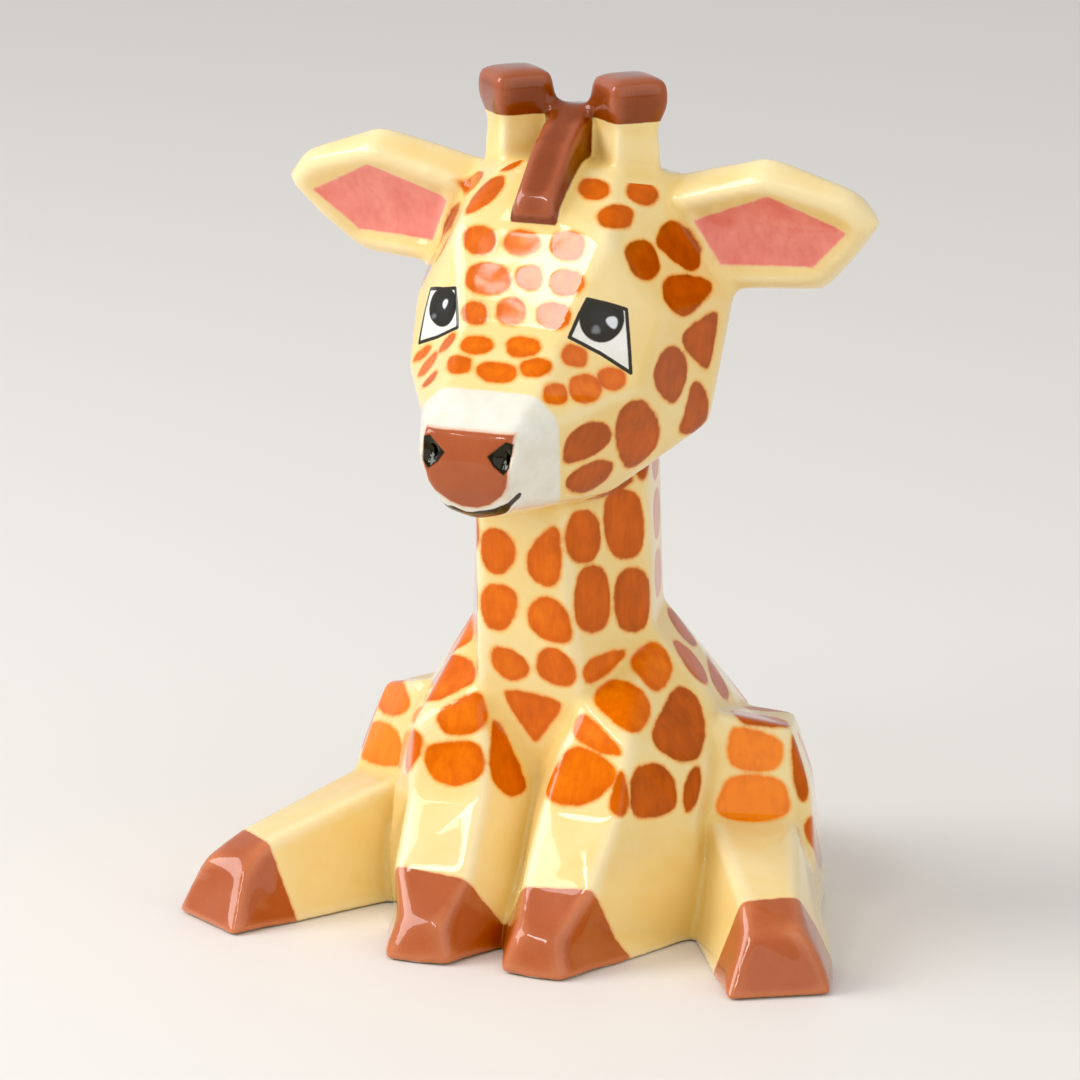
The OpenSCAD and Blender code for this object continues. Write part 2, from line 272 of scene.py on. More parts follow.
hind_rings = [
    [(24, 22, 39), (41, 18, 39.5), (44.5, 20, 27), (47, 22, 0), (20, 18, 0)],
    [(33, -7, 45), (45.5, 3, 40.5), (50.5, 2, 28), (53, 3, 0), (28, -8, 0)],
    [(34.5, -14, 25), (49.5, -4, 23), (53, -3, 12), (56, -9, 0), (32, -18.5, 0)],
    [(52, -42, 17), (61.5, -35, 17), (65, -31.5, 8), (67, -27.5, 0), (45.5, -41.5, 0)],
    [(55, -48.5, 11.3), (66.5, -44.5, 12.5), (70, -43.5, 6.5), (73, -44.5, 0), (54, -56.5, 0)]]
tail_top = [(4, 30, 32), (3.5, RUMP + 3, 28), (3, RUMP + 5, 20), (4, 30, 16), (2.5, RUMP + 8, 9), (2.5, RUMP, 9)]
tail_tuft = [(2.8, RUMP - 1, 10.5), (2.8, RUMP + 9, 10.5), (5, RUMP - 2, 4), (4.5, RUMP + 13, 4), (3, RUMP - 2, 0), (3, RUMP + 14, 0)]


def leg(rings, s):
    return loft(rings if s > 0 else [mir(r) for r in rings])


# ---------------------------------------------------------------------------
# One skin over the whole figurine: the castings are joined, remeshed fine and softened, as clay and glaze soften them
# ---------------------------------------------------------------------------
VOX = 0.62
whole = head_outer()
for part in [neck_outer(), torso_outer(), leg(fore_rings, 1), leg(fore_rings, -1), leg(hind_rings, 1), leg(hind_rings, -1),
             ear_outer(1), ear_outer(-1), stem(1), stem(-1), cap(1), cap(-1), slab(forelock_side, 9), slab(mane_side, 8),
             blob(both(tail_top)), blob(both(tail_tuft))]:
    boolean(whole, part, "UNION")
for s in (1, -1):
    pit = [(4.5, -60.3, 108.1), (8.3, -59.6, 111.3), (9.7, -59.3, 110.9), (9.4, -60.2, 106), (8.1, -60.4, 104.4), (7.8, -57.2, 107.9), (8, -63, 108)]
    boolean(whole, blob(pit if s > 0 else mir(pit)), "DIFFERENCE")
m = whole.modifiers.new("r", "REMESH")
m.mode = "VOXEL"
m.voxel_size = VOX
m.adaptivity = 0
applied(whole)


def coords(me):
    co = np.zeros(len(me.vertices) * 3, np.float32)
    me.vertices.foreach_get("co", co)
    return co.reshape(-1, 3).astype(np.float64)


def set_coords(me, co):
    me.vertices.foreach_set("co", co.astype(np.float32).ravel())
    me.update()


def smooth(co, edges, weight, times):
    n = len(co)
    a, b = edges[:, 0], edges[:, 1]
    deg = np.bincount(a, minlength=n) + np.bincount(b, minlength=n)
    deg = np.maximum(deg, 1)[:, None]
    w = weight[:, None]
    for _ in range(times):
        s = np.stack([np.bincount(a, co[b, i], n) + np.bincount(b, co[a, i], n) for i in range(3)], 1)
        co = co + w * (s / deg - co)
    return co


def near_box(co, lo, hi, soft=1.5):
    """1 inside a box, falling to 0 over soft millimetres outside it."""
    lo, hi = np.array(lo), np.array(hi)
    d = np.maximum(np.maximum(lo - co, co - hi), 0)
    return np.clip(1 - np.sqrt((d ** 2).sum(1)) / soft, 0, 1)


me = whole.data
edges = np.zeros(len(me.edges) * 2, np.int32)
me.edges.foreach_get("vertices", edges)
edges = edges.reshape(-1, 2)
co = coords(me)
half = np.abs(co * (1, 0, 0)) + co * (0, 1, 1)
base = np.full(len(co), 0.7)
base -= 0.3 * near_box(half, (3.5, -63, 102.5), (12, -55, 113), 1.5)      # the nostrils stay crisp
rounds = lambda r: max(1, round(r * (0.62 / VOX) ** 2))
co = smooth(co, edges, base, rounds(14))
# thicker rounding on the rims of the ears, the horn caps and the toes of the hooves
more = np.maximum.reduce([
    near_box(half, (36, -30, 128), (80, 30, 165), 6),
    near_box(half, (2, -14, 167), (22, 6, 180), 1.5),
    near_box(half, (4, -70, -5), (24, -46, 12), 3),
    near_box(half, (50, -70, -5), (80, -40, 12), 3),
    near_box(half, (-1, 44, -5), (8, 70, 40), 2)])
co = smooth(co, edges, more * 0.7, rounds(22))
co[:, 2] -= 0.9 * near_box(half, (-1, -57.5, 90), (6.5, -54.5, 96.4), 2.5)      # the chin keeps its edge over the mouth
co[:, 2] -= co[:, 2].min()
set_coords(me, co)

# finer mesh where the paint has fine lines: the eyes, the nose and the mouth
bm = bmesh.new()
bm.from_mesh(me)
FINE = [((10.5, -39, 118), (26, -24, 138)), ((-26, -39, 118), (-10.5, -24, 138)), ((-12, -64, 94), (12, -52, 115))]
FINER = [((-6, -59, 93), (11, -51, 101)), ((4, -64, 103), (12, -54, 112)), ((-12, -64, 103), (-4, -54, 112))]
for boxes in ((FINE, FINER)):
    pick = set()
    for v in bm.verts:
        c = v.co
        if any(lo[0] < c.x < hi[0] and lo[1] < c.y < hi[1] and lo[2] < c.z < hi[2] for lo, hi in boxes):
            pick.update(v.link_edges)
    bmesh.ops.subdivide_edges(bm, edges=list(pick), cuts=1, use_grid_fill=True)
bmesh.ops.triangulate(bm, faces=bm.faces)
bm.to_mesh(me)
bm.free()
co = coords(me)
edges = np.zeros(len(me.edges) * 2, np.int32)
me.edges.foreach_get("vertices", edges)
edges = edges.reshape(-1, 2)
nor = np.zeros(len(co) * 3, np.float32)
me.vertex_normals.foreach_get("vector", nor)
nor = nor.reshape(-1, 3).astype(np.float64)
tri = np.zeros(len(me.polygons) * 3, np.int32)
me.polygons.foreach_get("vertices", tri)
tri = tri.reshape(-1, 3)
skin_bvh = BVHTree.FromPolygons(co.tolist(), tri.tolist(), all_triangles=True)
print("skin", len(co), len(tri))

# ---------------------------------------------------------------------------
# Paint: every painted area is a signed distance in millimetres from its outline, below 0 inside, kept on the vertices
# ---------------------------------------------------------------------------
FAR = 6.0


def nearest(p):
    loc, n, i, d = skin_bvh.find_nearest(p)
    return np.array(loc), nor[tri[i]].mean(0)


def rounded(ps, steps=5):
    """A closed smooth line through the points."""
    p = np.array(ps, float)
    out = []
    for i in range(len(p)):
        a, b, c, d = p[i - 1], p[i], p[(i + 1) % len(p)], p[(i + 2) % len(p)]
        for k in range(steps):
            t = k / steps
            out.append(0.5 * (2 * b + (c - a) * t + (2 * a - 5 * b + 4 * c - d) * t * t + (3 * b - 3 * c + d - a) * t ** 3))
    out = np.array(out)
    soft = sum(np.roll(out, k, axis=0) for k in range(-3, 4)) / 7
    return soft.mean(0) + (soft - soft.mean(0)) * 1.03


def edge_dist(q, poly2, closed=True):
    """Distance of the points q to the line, and whether each lies inside it."""
    d2 = np.full(len(q), 1e9)
    inside = np.zeros(len(q), bool)
    m = len(poly2)
    for i in range(m if closed else m - 1):
        a, b = poly2[i], poly2[(i + 1) % m]
        ab = b - a
        t = np.clip(((q - a) @ ab) / max(ab @ ab, 1e-12), 0, 1)
        r = q - a - t[:, None] * ab
        d2 = np.minimum(d2, (r * r).sum(1))
        if closed:
            cross = (a[1] > q[:, 1]) != (b[1] > q[:, 1])
            x = a[0] + (q[:, 1] - a[1]) / (ab[1] if abs(ab[1]) > 1e-12 else 1e-12) * ab[0]
            inside ^= cross & (q[:, 0] < x)
    return np.sqrt(d2), inside


def on_skin(ps):
    """The middle of an outline, the skin's direction there, and two axes across it."""
    c = np.mean(ps, axis=0)
    n = np.mean([nearest(p)[1] for p in ps], axis=0)
    n /= np.linalg.norm(n)
    a = np.cross(n, (0, 0, 1) if abs(n[2]) < 0.9 else (0, 1, 0))
    a /= np.linalg.norm(a)
    return c, n, a, np.cross(n, a)


def paint(field, ps, smooth_line=True, depth=9.0, facing=0.12, wide=0.0, reach=3.0):
    """Lowers a field to the distance from one outline. wide makes an open line of that width instead."""
    line = rounded(ps) if smooth_line and not wide else np.array(ps, float)
    c, n, a, b = on_skin(np.array(ps, float))
    r = np.linalg.norm(line - c, axis=1).max() + reach
    near = np.where(((co - c) ** 2).sum(1) < (r + 3) ** 2)[0]
    d = co[near] - c
    ok = (np.abs(d @ n) < depth) & (nor[near] @ n > facing)
    near, d = near[ok], d[ok]
    q = np.stack([d @ a, d @ b], 1)
    p2 = np.stack([(line - c) @ a, (line - c) @ b], 1)
    dist, inside = edge_dist(q, p2, closed=not wide)
    sd = dist - wide / 2 if wide else np.where(inside, -dist, dist)
    better = sd < field[near]
    field[near] = np.where(better, sd, field[near])
    return near[better], sd[better]


SPOTS = {
    "forehead0": [(-7, -28, 143), (-8.5, -29, 141.5), (-11.5, -29, 141.5), (-13.5, -28.5, 142.5), (-14.5, -27, 145), (-13, -26, 146.5), (-9.5, -26, 146.5), (-7.5, -26.5, 145.5)],
    "forehead1": [(2.5, -28, 143.5), (0.5, -28.5, 142), (-2.5, -29, 142), (-5, -28, 143), (-5.5, -27, 145), (-4, -26, 146.5), (-0.5, -26, 146.5), (2, -26.5, 145.5)],
    "forehead2": [(12, -28, 143.5), (10.5, -29, 142), (7.5, -29, 142), (5, -28, 143), (4.5, -26.5, 145.5), (6, -26, 147), (9.5, -25.5, 147), (11.5, -26.5, 146)],
    "forehead3": [(-2, -32.5, 136.5), (-4, -33.5, 135), (-8.5, -33.5, 134.5), (-11.5, -32.5, 135.5), (-12, -31, 138), (-10, -30, 140), (-5.5, -30, 140), (-3, -30.5, 139)],
    "forehead4": [(4.5, -31.5, 137), (3.5, -32.5, 136), (1, -32.5, 136), (-1, -32, 137), (-1.5, -30.5, 139), (-0.5, -30, 140), (2.5, -30, 140.5), (4, -30.5, 139.5)],
    "forehead5": [(13.5, -31.5, 137), (12, -32.5, 135.5), (9, -33, 135.5), (6.5, -32, 136.5), (6, -31, 138.5), (7.5, -30, 140), (11, -30, 140), (13, -30.5, 139)],
    "forehead6": [(-5.5, -36, 130), (-6.5, -37, 129), (-9, -37, 129), (-11, -36, 130), (-11.5, -35, 131.5), (-10, -34.5, 133), (-7.5, -34.5, 133), (-6, -35, 132)],
    "forehead7": [(2.5, -35.5, 131), (1.5, -36.5, 129.5), (-1.5, -36.5, 129.5), (-3.5, -36, 130.5), (-4, -34.5, 133), (-2.5, -33.5, 134), (0, -33.5, 134.5), (2, -34, 133.5)],
    "forehead8": [(12, -35.5, 131), (10.5, -36.5, 129.5), (7.5, -36.5, 129.5), (5.5, -36, 130.5), (4.5, -34.5, 132.5), (6, -33.5, 134), (9.5, -33.5, 134), (11.5, -34, 133)],
    "bridge0": [(-2.5, -40.5, 125), (-3.5, -41.5, 124.5), (-7, -42, 124), (-9, -41, 124.5), (-9.5, -39.5, 126), (-8, -38.5, 127), (-5, -38.5, 127), (-3, -39, 126.5)],
    "bridge1": [(7.5, -40.5, 125.5), (6, -41.5, 124.5), (3, -41.5, 124), (1, -41, 125), (0, -39, 126.5), (1.5, -38, 127.5), (5, -38, 127.5), (7, -38.5, 127)],
    "bridge2": [(-5.5, -44.5, 121.5), (-6.5, -45.5, 121), (-9, -45.5, 120.5), (-10.5, -44.5, 121), (-11.5, -42.5, 122.5), (-10, -42, 123.5), (-7.5, -42.5, 123.5), (-6, -43, 123)],
    "bridge3": [(4.5, -45.5, 121), (3, -46.5, 120), (-1, -46.5, 120), (-3.5, -45.5, 120.5), (-4.5, -44, 122.5), (-2.5, -43, 123), (1.5, -43, 123), (4, -43.5, 122.5)],
    "bridge4": [(11, -42.5, 122.5), (10, -44, 121.5), (7.5, -45, 121), (5.5, -44.5, 121.5), (4.5, -43, 123), (5.5, -42, 124), (8.5, -41.5, 124.5), (10.5, -41.5, 124)],
    "cheekL0": [(16, -37, 122.5), (14.5, -38.5, 122.5), (13, -40, 123.5), (12, -39.5, 124.5), (12, -38, 126.5), (13, -36.5, 126.5), (15, -35.5, 126), (16, -35.5, 124.5)],
    "cheekL1": [(15, -44, 117), (14.5, -45.5, 116.5), (12.5, -47, 116.5), (11.5, -47.5, 117.5), (11, -46, 119.5), (11.5, -44.5, 120), (13, -43, 120), (14.5, -42.5, 119)],
    "cheekL2": [(19.5, -38.5, 116.5), (18.5, -40.5, 116), (16.5, -43, 116.5), (15, -42.5, 118), (14.5, -41, 120.5), (15.5, -38.5, 121), (18, -36.5, 120.5), (19.5, -36.5, 119)],
    "cheekL3": [(22.5, -33.5, 118), (21.5, -35, 117.5), (19.5, -36.5, 118.5), (18.5, -36.5, 120), (18.5, -35, 121.5), (19.5, -33.5, 122), (22, -32, 121), (23, -32, 119.5)],
    "cheekR0": [(-18.5, -34, 122.5), (-20, -34, 120.5), (-22.5, -32.5, 119), (-24, -31.5, 119), (-22.5, -31.5, 121), (-19.5, -33, 123)],
    "cheekR1": [(-15.5, -38, 122), (-16.5, -39, 120), (-19, -38.5, 117.5), (-20.5, -36.5, 117.5), (-19.5, -35.5, 120), (-17, -36, 122.5)],
    "cheekR2": [(-13.5, -43, 119.5), (-14.5, -43.5, 118), (-16.5, -43, 116.5), (-17.5, -41.5, 116.5), (-16.5, -41, 118), (-14.5, -41.5, 120)],
    "cheekR3": [(-11.5, -38, 126.5), (-12, -39.5, 125), (-14.5, -38.5, 123), (-16, -37, 123), (-14.5, -36, 125), (-12.5, -37, 127)],
    "crownL0": [(13, -17.5, 153), (11.5, -19, 152.5), (9, -19.5, 152.5), (7, -18.5, 154), (6.5, -16, 155.5), (8, -15, 156), (11, -15, 155.5), (12.5, -15.5, 154.5)],
    "crownL1": [(20.5, -11, 151), (19, -13.5, 151), (17, -15, 152), (15.5, -14, 153.5), (15.5, -11.5, 155), (16.5, -9.5, 155), (19, -8.5, 154), (20.5, -8.5, 152.5)],
    "crownL2": [(18.5, -18, 148.5), (18, -21, 147.5), (15.5, -24, 148), (13.5, -23.5, 149), (12.5, -21.5, 150.5), (14, -19.5, 151.5), (16.5, -17, 151.5), (18, -16.5, 150)],
    "crownR0": [(-23.5, -7, 149), (-22, -6.5, 152), (-19, -8, 154), (-17, -11, 154.5), (-17, -14, 152.5), (-19.5, -14.5, 150)],
    "crownR1": [(-16, -22.5, 148.5), (-16, -17.5, 151.5), (-12.5, -15.5, 154.5), (-10, -16, 155), (-9.5, -19.5, 152.5), (-12, -22.5, 150), (-14.5, -23.5, 148.5)],
    "crownR2": [(-13, -14, 155.5), (-12, -11.5, 157.5), (-9.5, -9.5, 158.5), (-8, -11, 157.5), (-9, -14.5, 156)],
    "sideL0": [(23.5, -16, 140), (24, -18.5, 138), (23, -22, 137.5), (21.5, -24, 139), (19.5, -24, 142.5), (19, -22, 144.5), (20.5, -18, 145), (22, -16, 143.5)],
    "sideL1": [(23, -8, 148), (26.5, -6, 144), (28.5, -5, 141), (28.5, -8, 136.5), (26, -11.5, 139), (23.5, -14, 142), (22, -14.5, 144.5)],
    "sideL2": [(25, -17, 137), (26.5, -12.5, 137), (31.5, -4, 134.5), (30.5, -11, 131), (28.5, -17, 129), (26, -20, 133.5)],
    "sideL3": [(32, -7, 129), (32, -5.5, 127), (31, -7, 117.5), (30.5, -9, 117.5), (28.5, -16, 123.5), (29, -15.5, 126.5)],
    "sideL4": [(27.5, -20, 125), (29, -13, 119), (28.5, -16.5, 113), (27.5, -19.5, 112), (26.5, -25.5, 117), (26.5, -25, 121)],
    "sideL5": [(30, -10, 115), (30.5, -5.5, 109), (29, -8, 104), (27.5, -11.5, 104), (27, -14.5, 106), (29, -13, 114)],
    "sideL6": [(24, -31, 115), (25.5, -25, 112.5), (25, -17.5, 104), (21.5, -21, 99.5), (20, -23, 99), (19.5, -27, 101.5), (21, -34, 111.5)],
    "sideL7": [(19.5, -37.5, 112), (20, -32.5, 108), (18.5, -33.5, 104.5), (14.5, -40.5, 103), (14, -43.5, 105), (16, -44.5, 111)],
    "sideL8": [(18.5, -31, 102), (19, -28, 100), (16, -29.5, 96), (13.5, -35.5, 95.5), (13, -41, 100), (16.5, -35.5, 102.5)],
    "jawL0": [(13, -30.5, 93), (16, -24.5, 94), (17.5, -13.5, 95), (16.5, -15.5, 93), (14, -23, 92)],
    "jawL1": [(18, -14, 94), (24, -9, 98), (29, -5, 103), (27, -2, 101), (20, -8, 94)],
    "neck0": [(-7, -32, 86.5), (-0.5, -31.5, 83.5), (-3, -31, 77), (-6, -31, 76), (-8.5, -31, 77.5), (-9, -31, 82)],
    "neck1": [(7, -32, 87.5), (8.5, -32, 86), (8.5, -31, 77.5), (5.5, -30.5, 74), (0, -31, 78), (3.5, -31.5, 84.5)],
    "neck2": [(-9, -30.5, 73.5), (-3, -30.5, 73.5), (-1, -30.5, 71), (-3.5, -29.5, 64.5), (-7.5, -29.5, 64), (-9.5, -30, 67)],
    "neck3": [(5.5, -30.5, 73), (9.5, -30, 69.5), (10, -29, 64), (8.5, -29.5, 62.5), (2, -29.5, 63.5), (0.5, -30, 69.5)],
    "neckL0": [(13.5, -23, 81.5), (12.5, -25.5, 79), (11, -29.5, 80), (9.5, -31, 82.5), (10, -31.5, 88), (11, -29.5, 90.5), (12.5, -25, 89.5), (13.5, -23, 86.5)],
    "neckL1": [(18.5, -11.5, 81), (18, -13.5, 78), (15.5, -18.5, 78.5), (14.5, -21.5, 82.5), (14, -22, 89.5), (15, -20, 93), (17, -14.5, 92), (18.5, -12, 88.5)],
    "neckL2": [(15, -20.5, 67), (14, -22.5, 64), (11.5, -27, 65), (10.5, -29, 68.5), (11, -29, 75.5), (12, -27, 78.5), (14, -23, 77.5), (15, -21, 74)],
    "neckL3": [(19.5, -10.5, 65), (18.5, -12.5, 62), (16.5, -17, 63), (15.5, -19, 66.5), (15.5, -19.5, 73), (16.5, -17, 76), (18.5, -12.5, 75), (19.5, -10, 71.5)],
    "chest0": [(-8.5, -29, 59), (-4.5, -29, 60.5), (1, -28.5, 57), (-2, -27.5, 53), (-6.5, -27.5, 53.5)],
    "chest1": [(3, -29, 60.5), (7.5, -29, 61.5), (10.5, -28, 57), (9.5, -27.5, 53), (3.5, -27.5, 53.5), (2, -28, 56.5)],
    "chest2": [(11.5, -26.5, 58), (14, -21.5, 59), (17, -16, 59), (16, -18.5, 56.5), (14.5, -21.5, 54.5), (12.5, -25, 53.5), (12, -26.5, 54.5)],
    "chest3": [(-6, -26.5, 49), (-4, -27, 51), (6.5, -27, 49.5), (6, -26, 47), (0.5, -24.5, 40), (-0.5, -25, 40.5)],
    "shR0": [(-17.5, -15, 61), (-20, -9, 61), (-24, -8, 56), (-27, -9, 51), (-24.5, -13, 51), (-20, -17, 54)],
    "shR1": [(-18, -19, 54.5), (-15, -22, 53.5), (-12.5, -25.5, 52), (-18, -26.5, 48.5), (-22.5, -28, 46), (-29.5, -13.5, 43.5), (-26, -13, 49)],
    "shR2": [(-11, -27, 50), (-9.5, -27.5, 45.5), (-9, -29.5, 43), (-12.5, -31.5, 41.5), (-17, -32, 41.5), (-19.5, -30.5, 45), (-15, -28.5, 48)],
    "shR3": [(-20, -33, 39), (-16.5, -32.5, 39.5), (-10.5, -31.5, 40.5), (-8.5, -32, 38), (-7.5, -34, 33.5), (-15.5, -35.5, 31), (-20.5, -34, 35)],
    "shR4": [(-24, -31, 41.5), (-22, -32.5, 40.5), (-21.5, -33.5, 37.5), (-24, -33.5, 32.5), (-27.5, -28.5, 32), (-27, -28, 37)],
    "shR5": [(-8, -26.5, 45), (-5.5, -26, 39.5), (-2, -25.5, 32.5), (-1.5, -26, 29.5), (-3, -30, 29), (-5, -32, 31.5), (-6.5, -32.5, 35), (-7.5, -29.5, 40.5)],
    "thR0": [(-44.5, 1, 39), (-41, 7, 40.5), (-35, -7, 40.5), (-36.5, -7.5, 37.5), (-40.5, -5.5, 35.5), (-47, 1.5, 35)],
    "thR1": [(-48, 0.5, 31.5), (-42.5, -4.5, 33.5), (-37, -9, 33), (-36, -11.5, 29), (-36.5, -12, 26.5), (-50, -1, 24)],
    "shL0": [(20.5, -10, 59.5), (23, -8.5, 56), (24.5, -10, 53), (24, -16, 50.5), (22, -18.5, 52.5), (17.5, -17, 56.5), (19, -13.5, 58.5)],
    "shL1": [(15.5, -21, 54), (20.5, -20.5, 52.5), (23, -20, 50), (24.5, -22, 47), (23.5, -29, 44.5), (18.5, -28, 47), (15.5, -27, 49), (13, -25.5, 51)],
    "shL2": [(12, -28, 48.5), (17.5, -30, 45), (22.5, -32, 42), (20, -32.5, 41), (14.5, -31.5, 42), (11.5, -30.5, 43.5), (10.5, -29, 45)],
    "shL3": [(10, -31, 41), (14, -31.5, 41.5), (20, -32.5, 39.5), (21.5, -33.5, 37), (20, -34.5, 34.5), (16.5, -35.5, 31.5), (11.5, -36, 30.5), (6.5, -34.5, 31.5), (7, -33, 34.5)],
    "shL4": [(22.5, -33, 39), (24, -33, 34.5), (24.5, -34, 30), (23, -35.5, 29.5), (20.5, -35.5, 31), (21.5, -34, 35.5)],
    "shL5": [(24.5, -31, 39), (29, -23.5, 37.5), (30.5, -23, 31.5), (30.5, -24.5, 28), (27.5, -29.5, 28), (25, -33, 29), (24.5, -32.5, 34)],
    "shL6": [(26, -10, 50.5), (28.5, -7.5, 48), (30.5, -8, 45), (32, -10.5, 41), (32.5, -15.5, 37.5), (30.5, -20, 37.5), (26, -25.5, 42), (25.5, -21.5, 45.5), (25.5, -14.5, 49)],
    "shL7": [(32.5, -15.5, 36.5), (33.5, -16.5, 32), (33, -18.5, 28.5), (32, -21.5, 27), (31.5, -21.5, 30), (31.5, -20, 34)],
    "bkL0": [(17.5, 6, 62.5), (18.5, 9.5, 59), (21.5, 11, 54.5), (23.5, 5.5, 54.5), (21.5, 2, 58), (18.5, 2.5, 61.5)],
    "bkL1": [(21.5, -4, 58.5), (23.5, 2, 55), (26.5, 3.5, 51), (29, -1, 48.5), (27.5, -5, 51), (24.5, -5.5, 55)],
    "bkL2": [(22, 15, 51.5), (25.5, 12, 48.5), (30, 9, 43), (30.5, 2.5, 45.5), (27, 4.5, 50)],
    "thL0": [(36, -6.5, 40.5), (37, -5, 41.5), (43.5, 0, 39), (45, 0, 36.5), (45, -2, 33.5), (43, -4.5, 32.5), (38.5, -7.5, 33.5), (36, -8.5, 35.5)],
    "thL1": [(36.5, -9.5, 32), (41.5, -6, 32), (46, -2.5, 30.5), (47.5, -3.5, 26.5), (48, -5, 24), (42.5, -11.5, 23.5), (35.5, -13.5, 25), (36, -11.5, 28.5)],
    "thL2": [(30, 15, 40.5), (34, 19, 40), (38, 17.5, 39.5), (41.5, 16, 39), (35.5, 14.5, 39.5)],
    "thL3": [(32, 4, 42.5), (36, 10.5, 40), (43, 8, 40), (45, 3, 40), (39.5, -2, 41.5), (36, -4.5, 43)],
    "thL4": [(45.5, 3, 39), (46.5, 4.5, 36.5), (49, 3, 30.5), (50, 1.5, 26), (49, -1, 26), (47.5, -0.5, 31)],
    "thL5": [(46, 10, 37), (47.5, 14, 32), (47, 14, 26), (45.5, 17, 24), (44.5, 16, 30), (44, 13, 36)],
    "thL6": [(50.5, -0.5, 23.5), (50, 7, 18.5), (47, 19, 10), (48.5, 15, 6), (52.5, -2.5, 15)],
}
MARKS = {
    "eyeL": [(14.5, -32, 135), (18, -30, 134), (21, -27.5, 132.5), (22.5, -29.5, 126.5), (23.5, -31, 120.5), (18, -33.5, 124.5), (12.5, -36.5, 128), (13.5, -34, 132)],
    "eyeR": [(-22, -26.5, 133), (-17.5, -30, 134), (-14, -32.5, 135), (-12.5, -34.5, 131.5), (-11.5, -37, 128), (-17, -34, 125), (-22.5, -30.5, 122.5), (-22.5, -28, 128.5)],
    "irisL": [(21, -29, 129.5), (20, -31, 127.5), (18, -32.5, 126.5), (15.5, -34, 127.5), (14, -34.5, 130), (13.5, -33.5, 133), (14.5, -32, 135), (17, -30, 136), (19, -28.5, 135), (20.5, -28, 132.5)],
    "irisR": [(-13, -35, 130), (-14.5, -35, 128), (-17, -33.5, 127), (-19.5, -31, 127.5), (-21, -29.5, 129), (-21, -28.5, 131.5), (-19.5, -29, 133.5), (-16.5, -30.5, 134.5), (-14, -32.5, 134), (-13, -34, 132.5)],
    "hiL0": [(20, -30, 129.5), (19.5, -30.5, 129), (18.5, -31, 130), (18, -31, 131), (19, -30, 131.5), (20, -29.5, 131)],
    "hiL1": [(17.5, -32.5, 128.5), (17, -33, 128.5), (16, -33.5, 128.5), (16, -33, 129.5), (16.5, -32.5, 130), (17, -32, 129.5)],
    "hiR0": [(-16, -32.5, 131), (-16.5, -32.5, 130.5), (-17, -31.5, 131), (-17, -31.5, 132), (-16, -32, 132.5), (-15.5, -32.5, 132)],
    "hiR1": [(-18.5, -31.5, 128.5), (-19, -31, 128), (-20, -31, 128), (-20, -30.5, 128.5), (-19.5, -31, 129), (-19, -31.5, 129)],
    "nosL": [(4.5, -60, 108), (8, -59, 110.5), (9, -59.5, 109.5), (8, -60, 104.5)],
    "nosR": [(-10, -58, 110.5), (-5.5, -60, 108.5), (-8.5, -60, 106)],
    "mouth": [(-4, -55.5, 96), (-1, -53, 94.5), (6, -57, 97.5), (8.5, -54, 99.5), (8.5, -53, 98.5), (5, -53, 95), (0.5, -53.5, 94.5), (-2, -55, 95.5)],
}


def flip(ps):
    return [(-x, y, z) for x, y, z in ps]


# the side that isn't seen carries the same pattern, turned over
for name in [n for n in SPOTS if n[:5] in ("sideL", "jawL0", "jawL1", "neckL")] + ["bkL0", "bkL1", "bkL2", "thL4", "thL5", "thL6"]:
    SPOTS[name.replace("L", "R")] = flip(SPOTS[name])


def patch(c, n, w, h, turn=0, p=2.5, k=8):
    """A rounded patch of w by h millimetres lying on the skin near c."""
    at, _ = nearest(c)
    n = Vector(n).normalized()
    a = Vector((0, 0, 1)).cross(n) if abs(n.z) < 0.9 else Vector((1, 0, 0))
    a.normalize()
    b = n.cross(a)
    out = []
    for i in range(k):
        t = 2 * math.pi * (i + 0.5) / k
        x = math.copysign(abs(math.cos(t)) ** (2 / p), math.cos(t)) * w / 2
        y = math.copysign(abs(math.sin(t)) ** (2 / p), math.sin(t)) * h / 2
        u = x * math.cos(turn) - y * math.sin(turn)
        v = x * math.sin(turn) + y * math.cos(turn)
        out.append(tuple(Vector(at) + a * u + b * v))
    return out


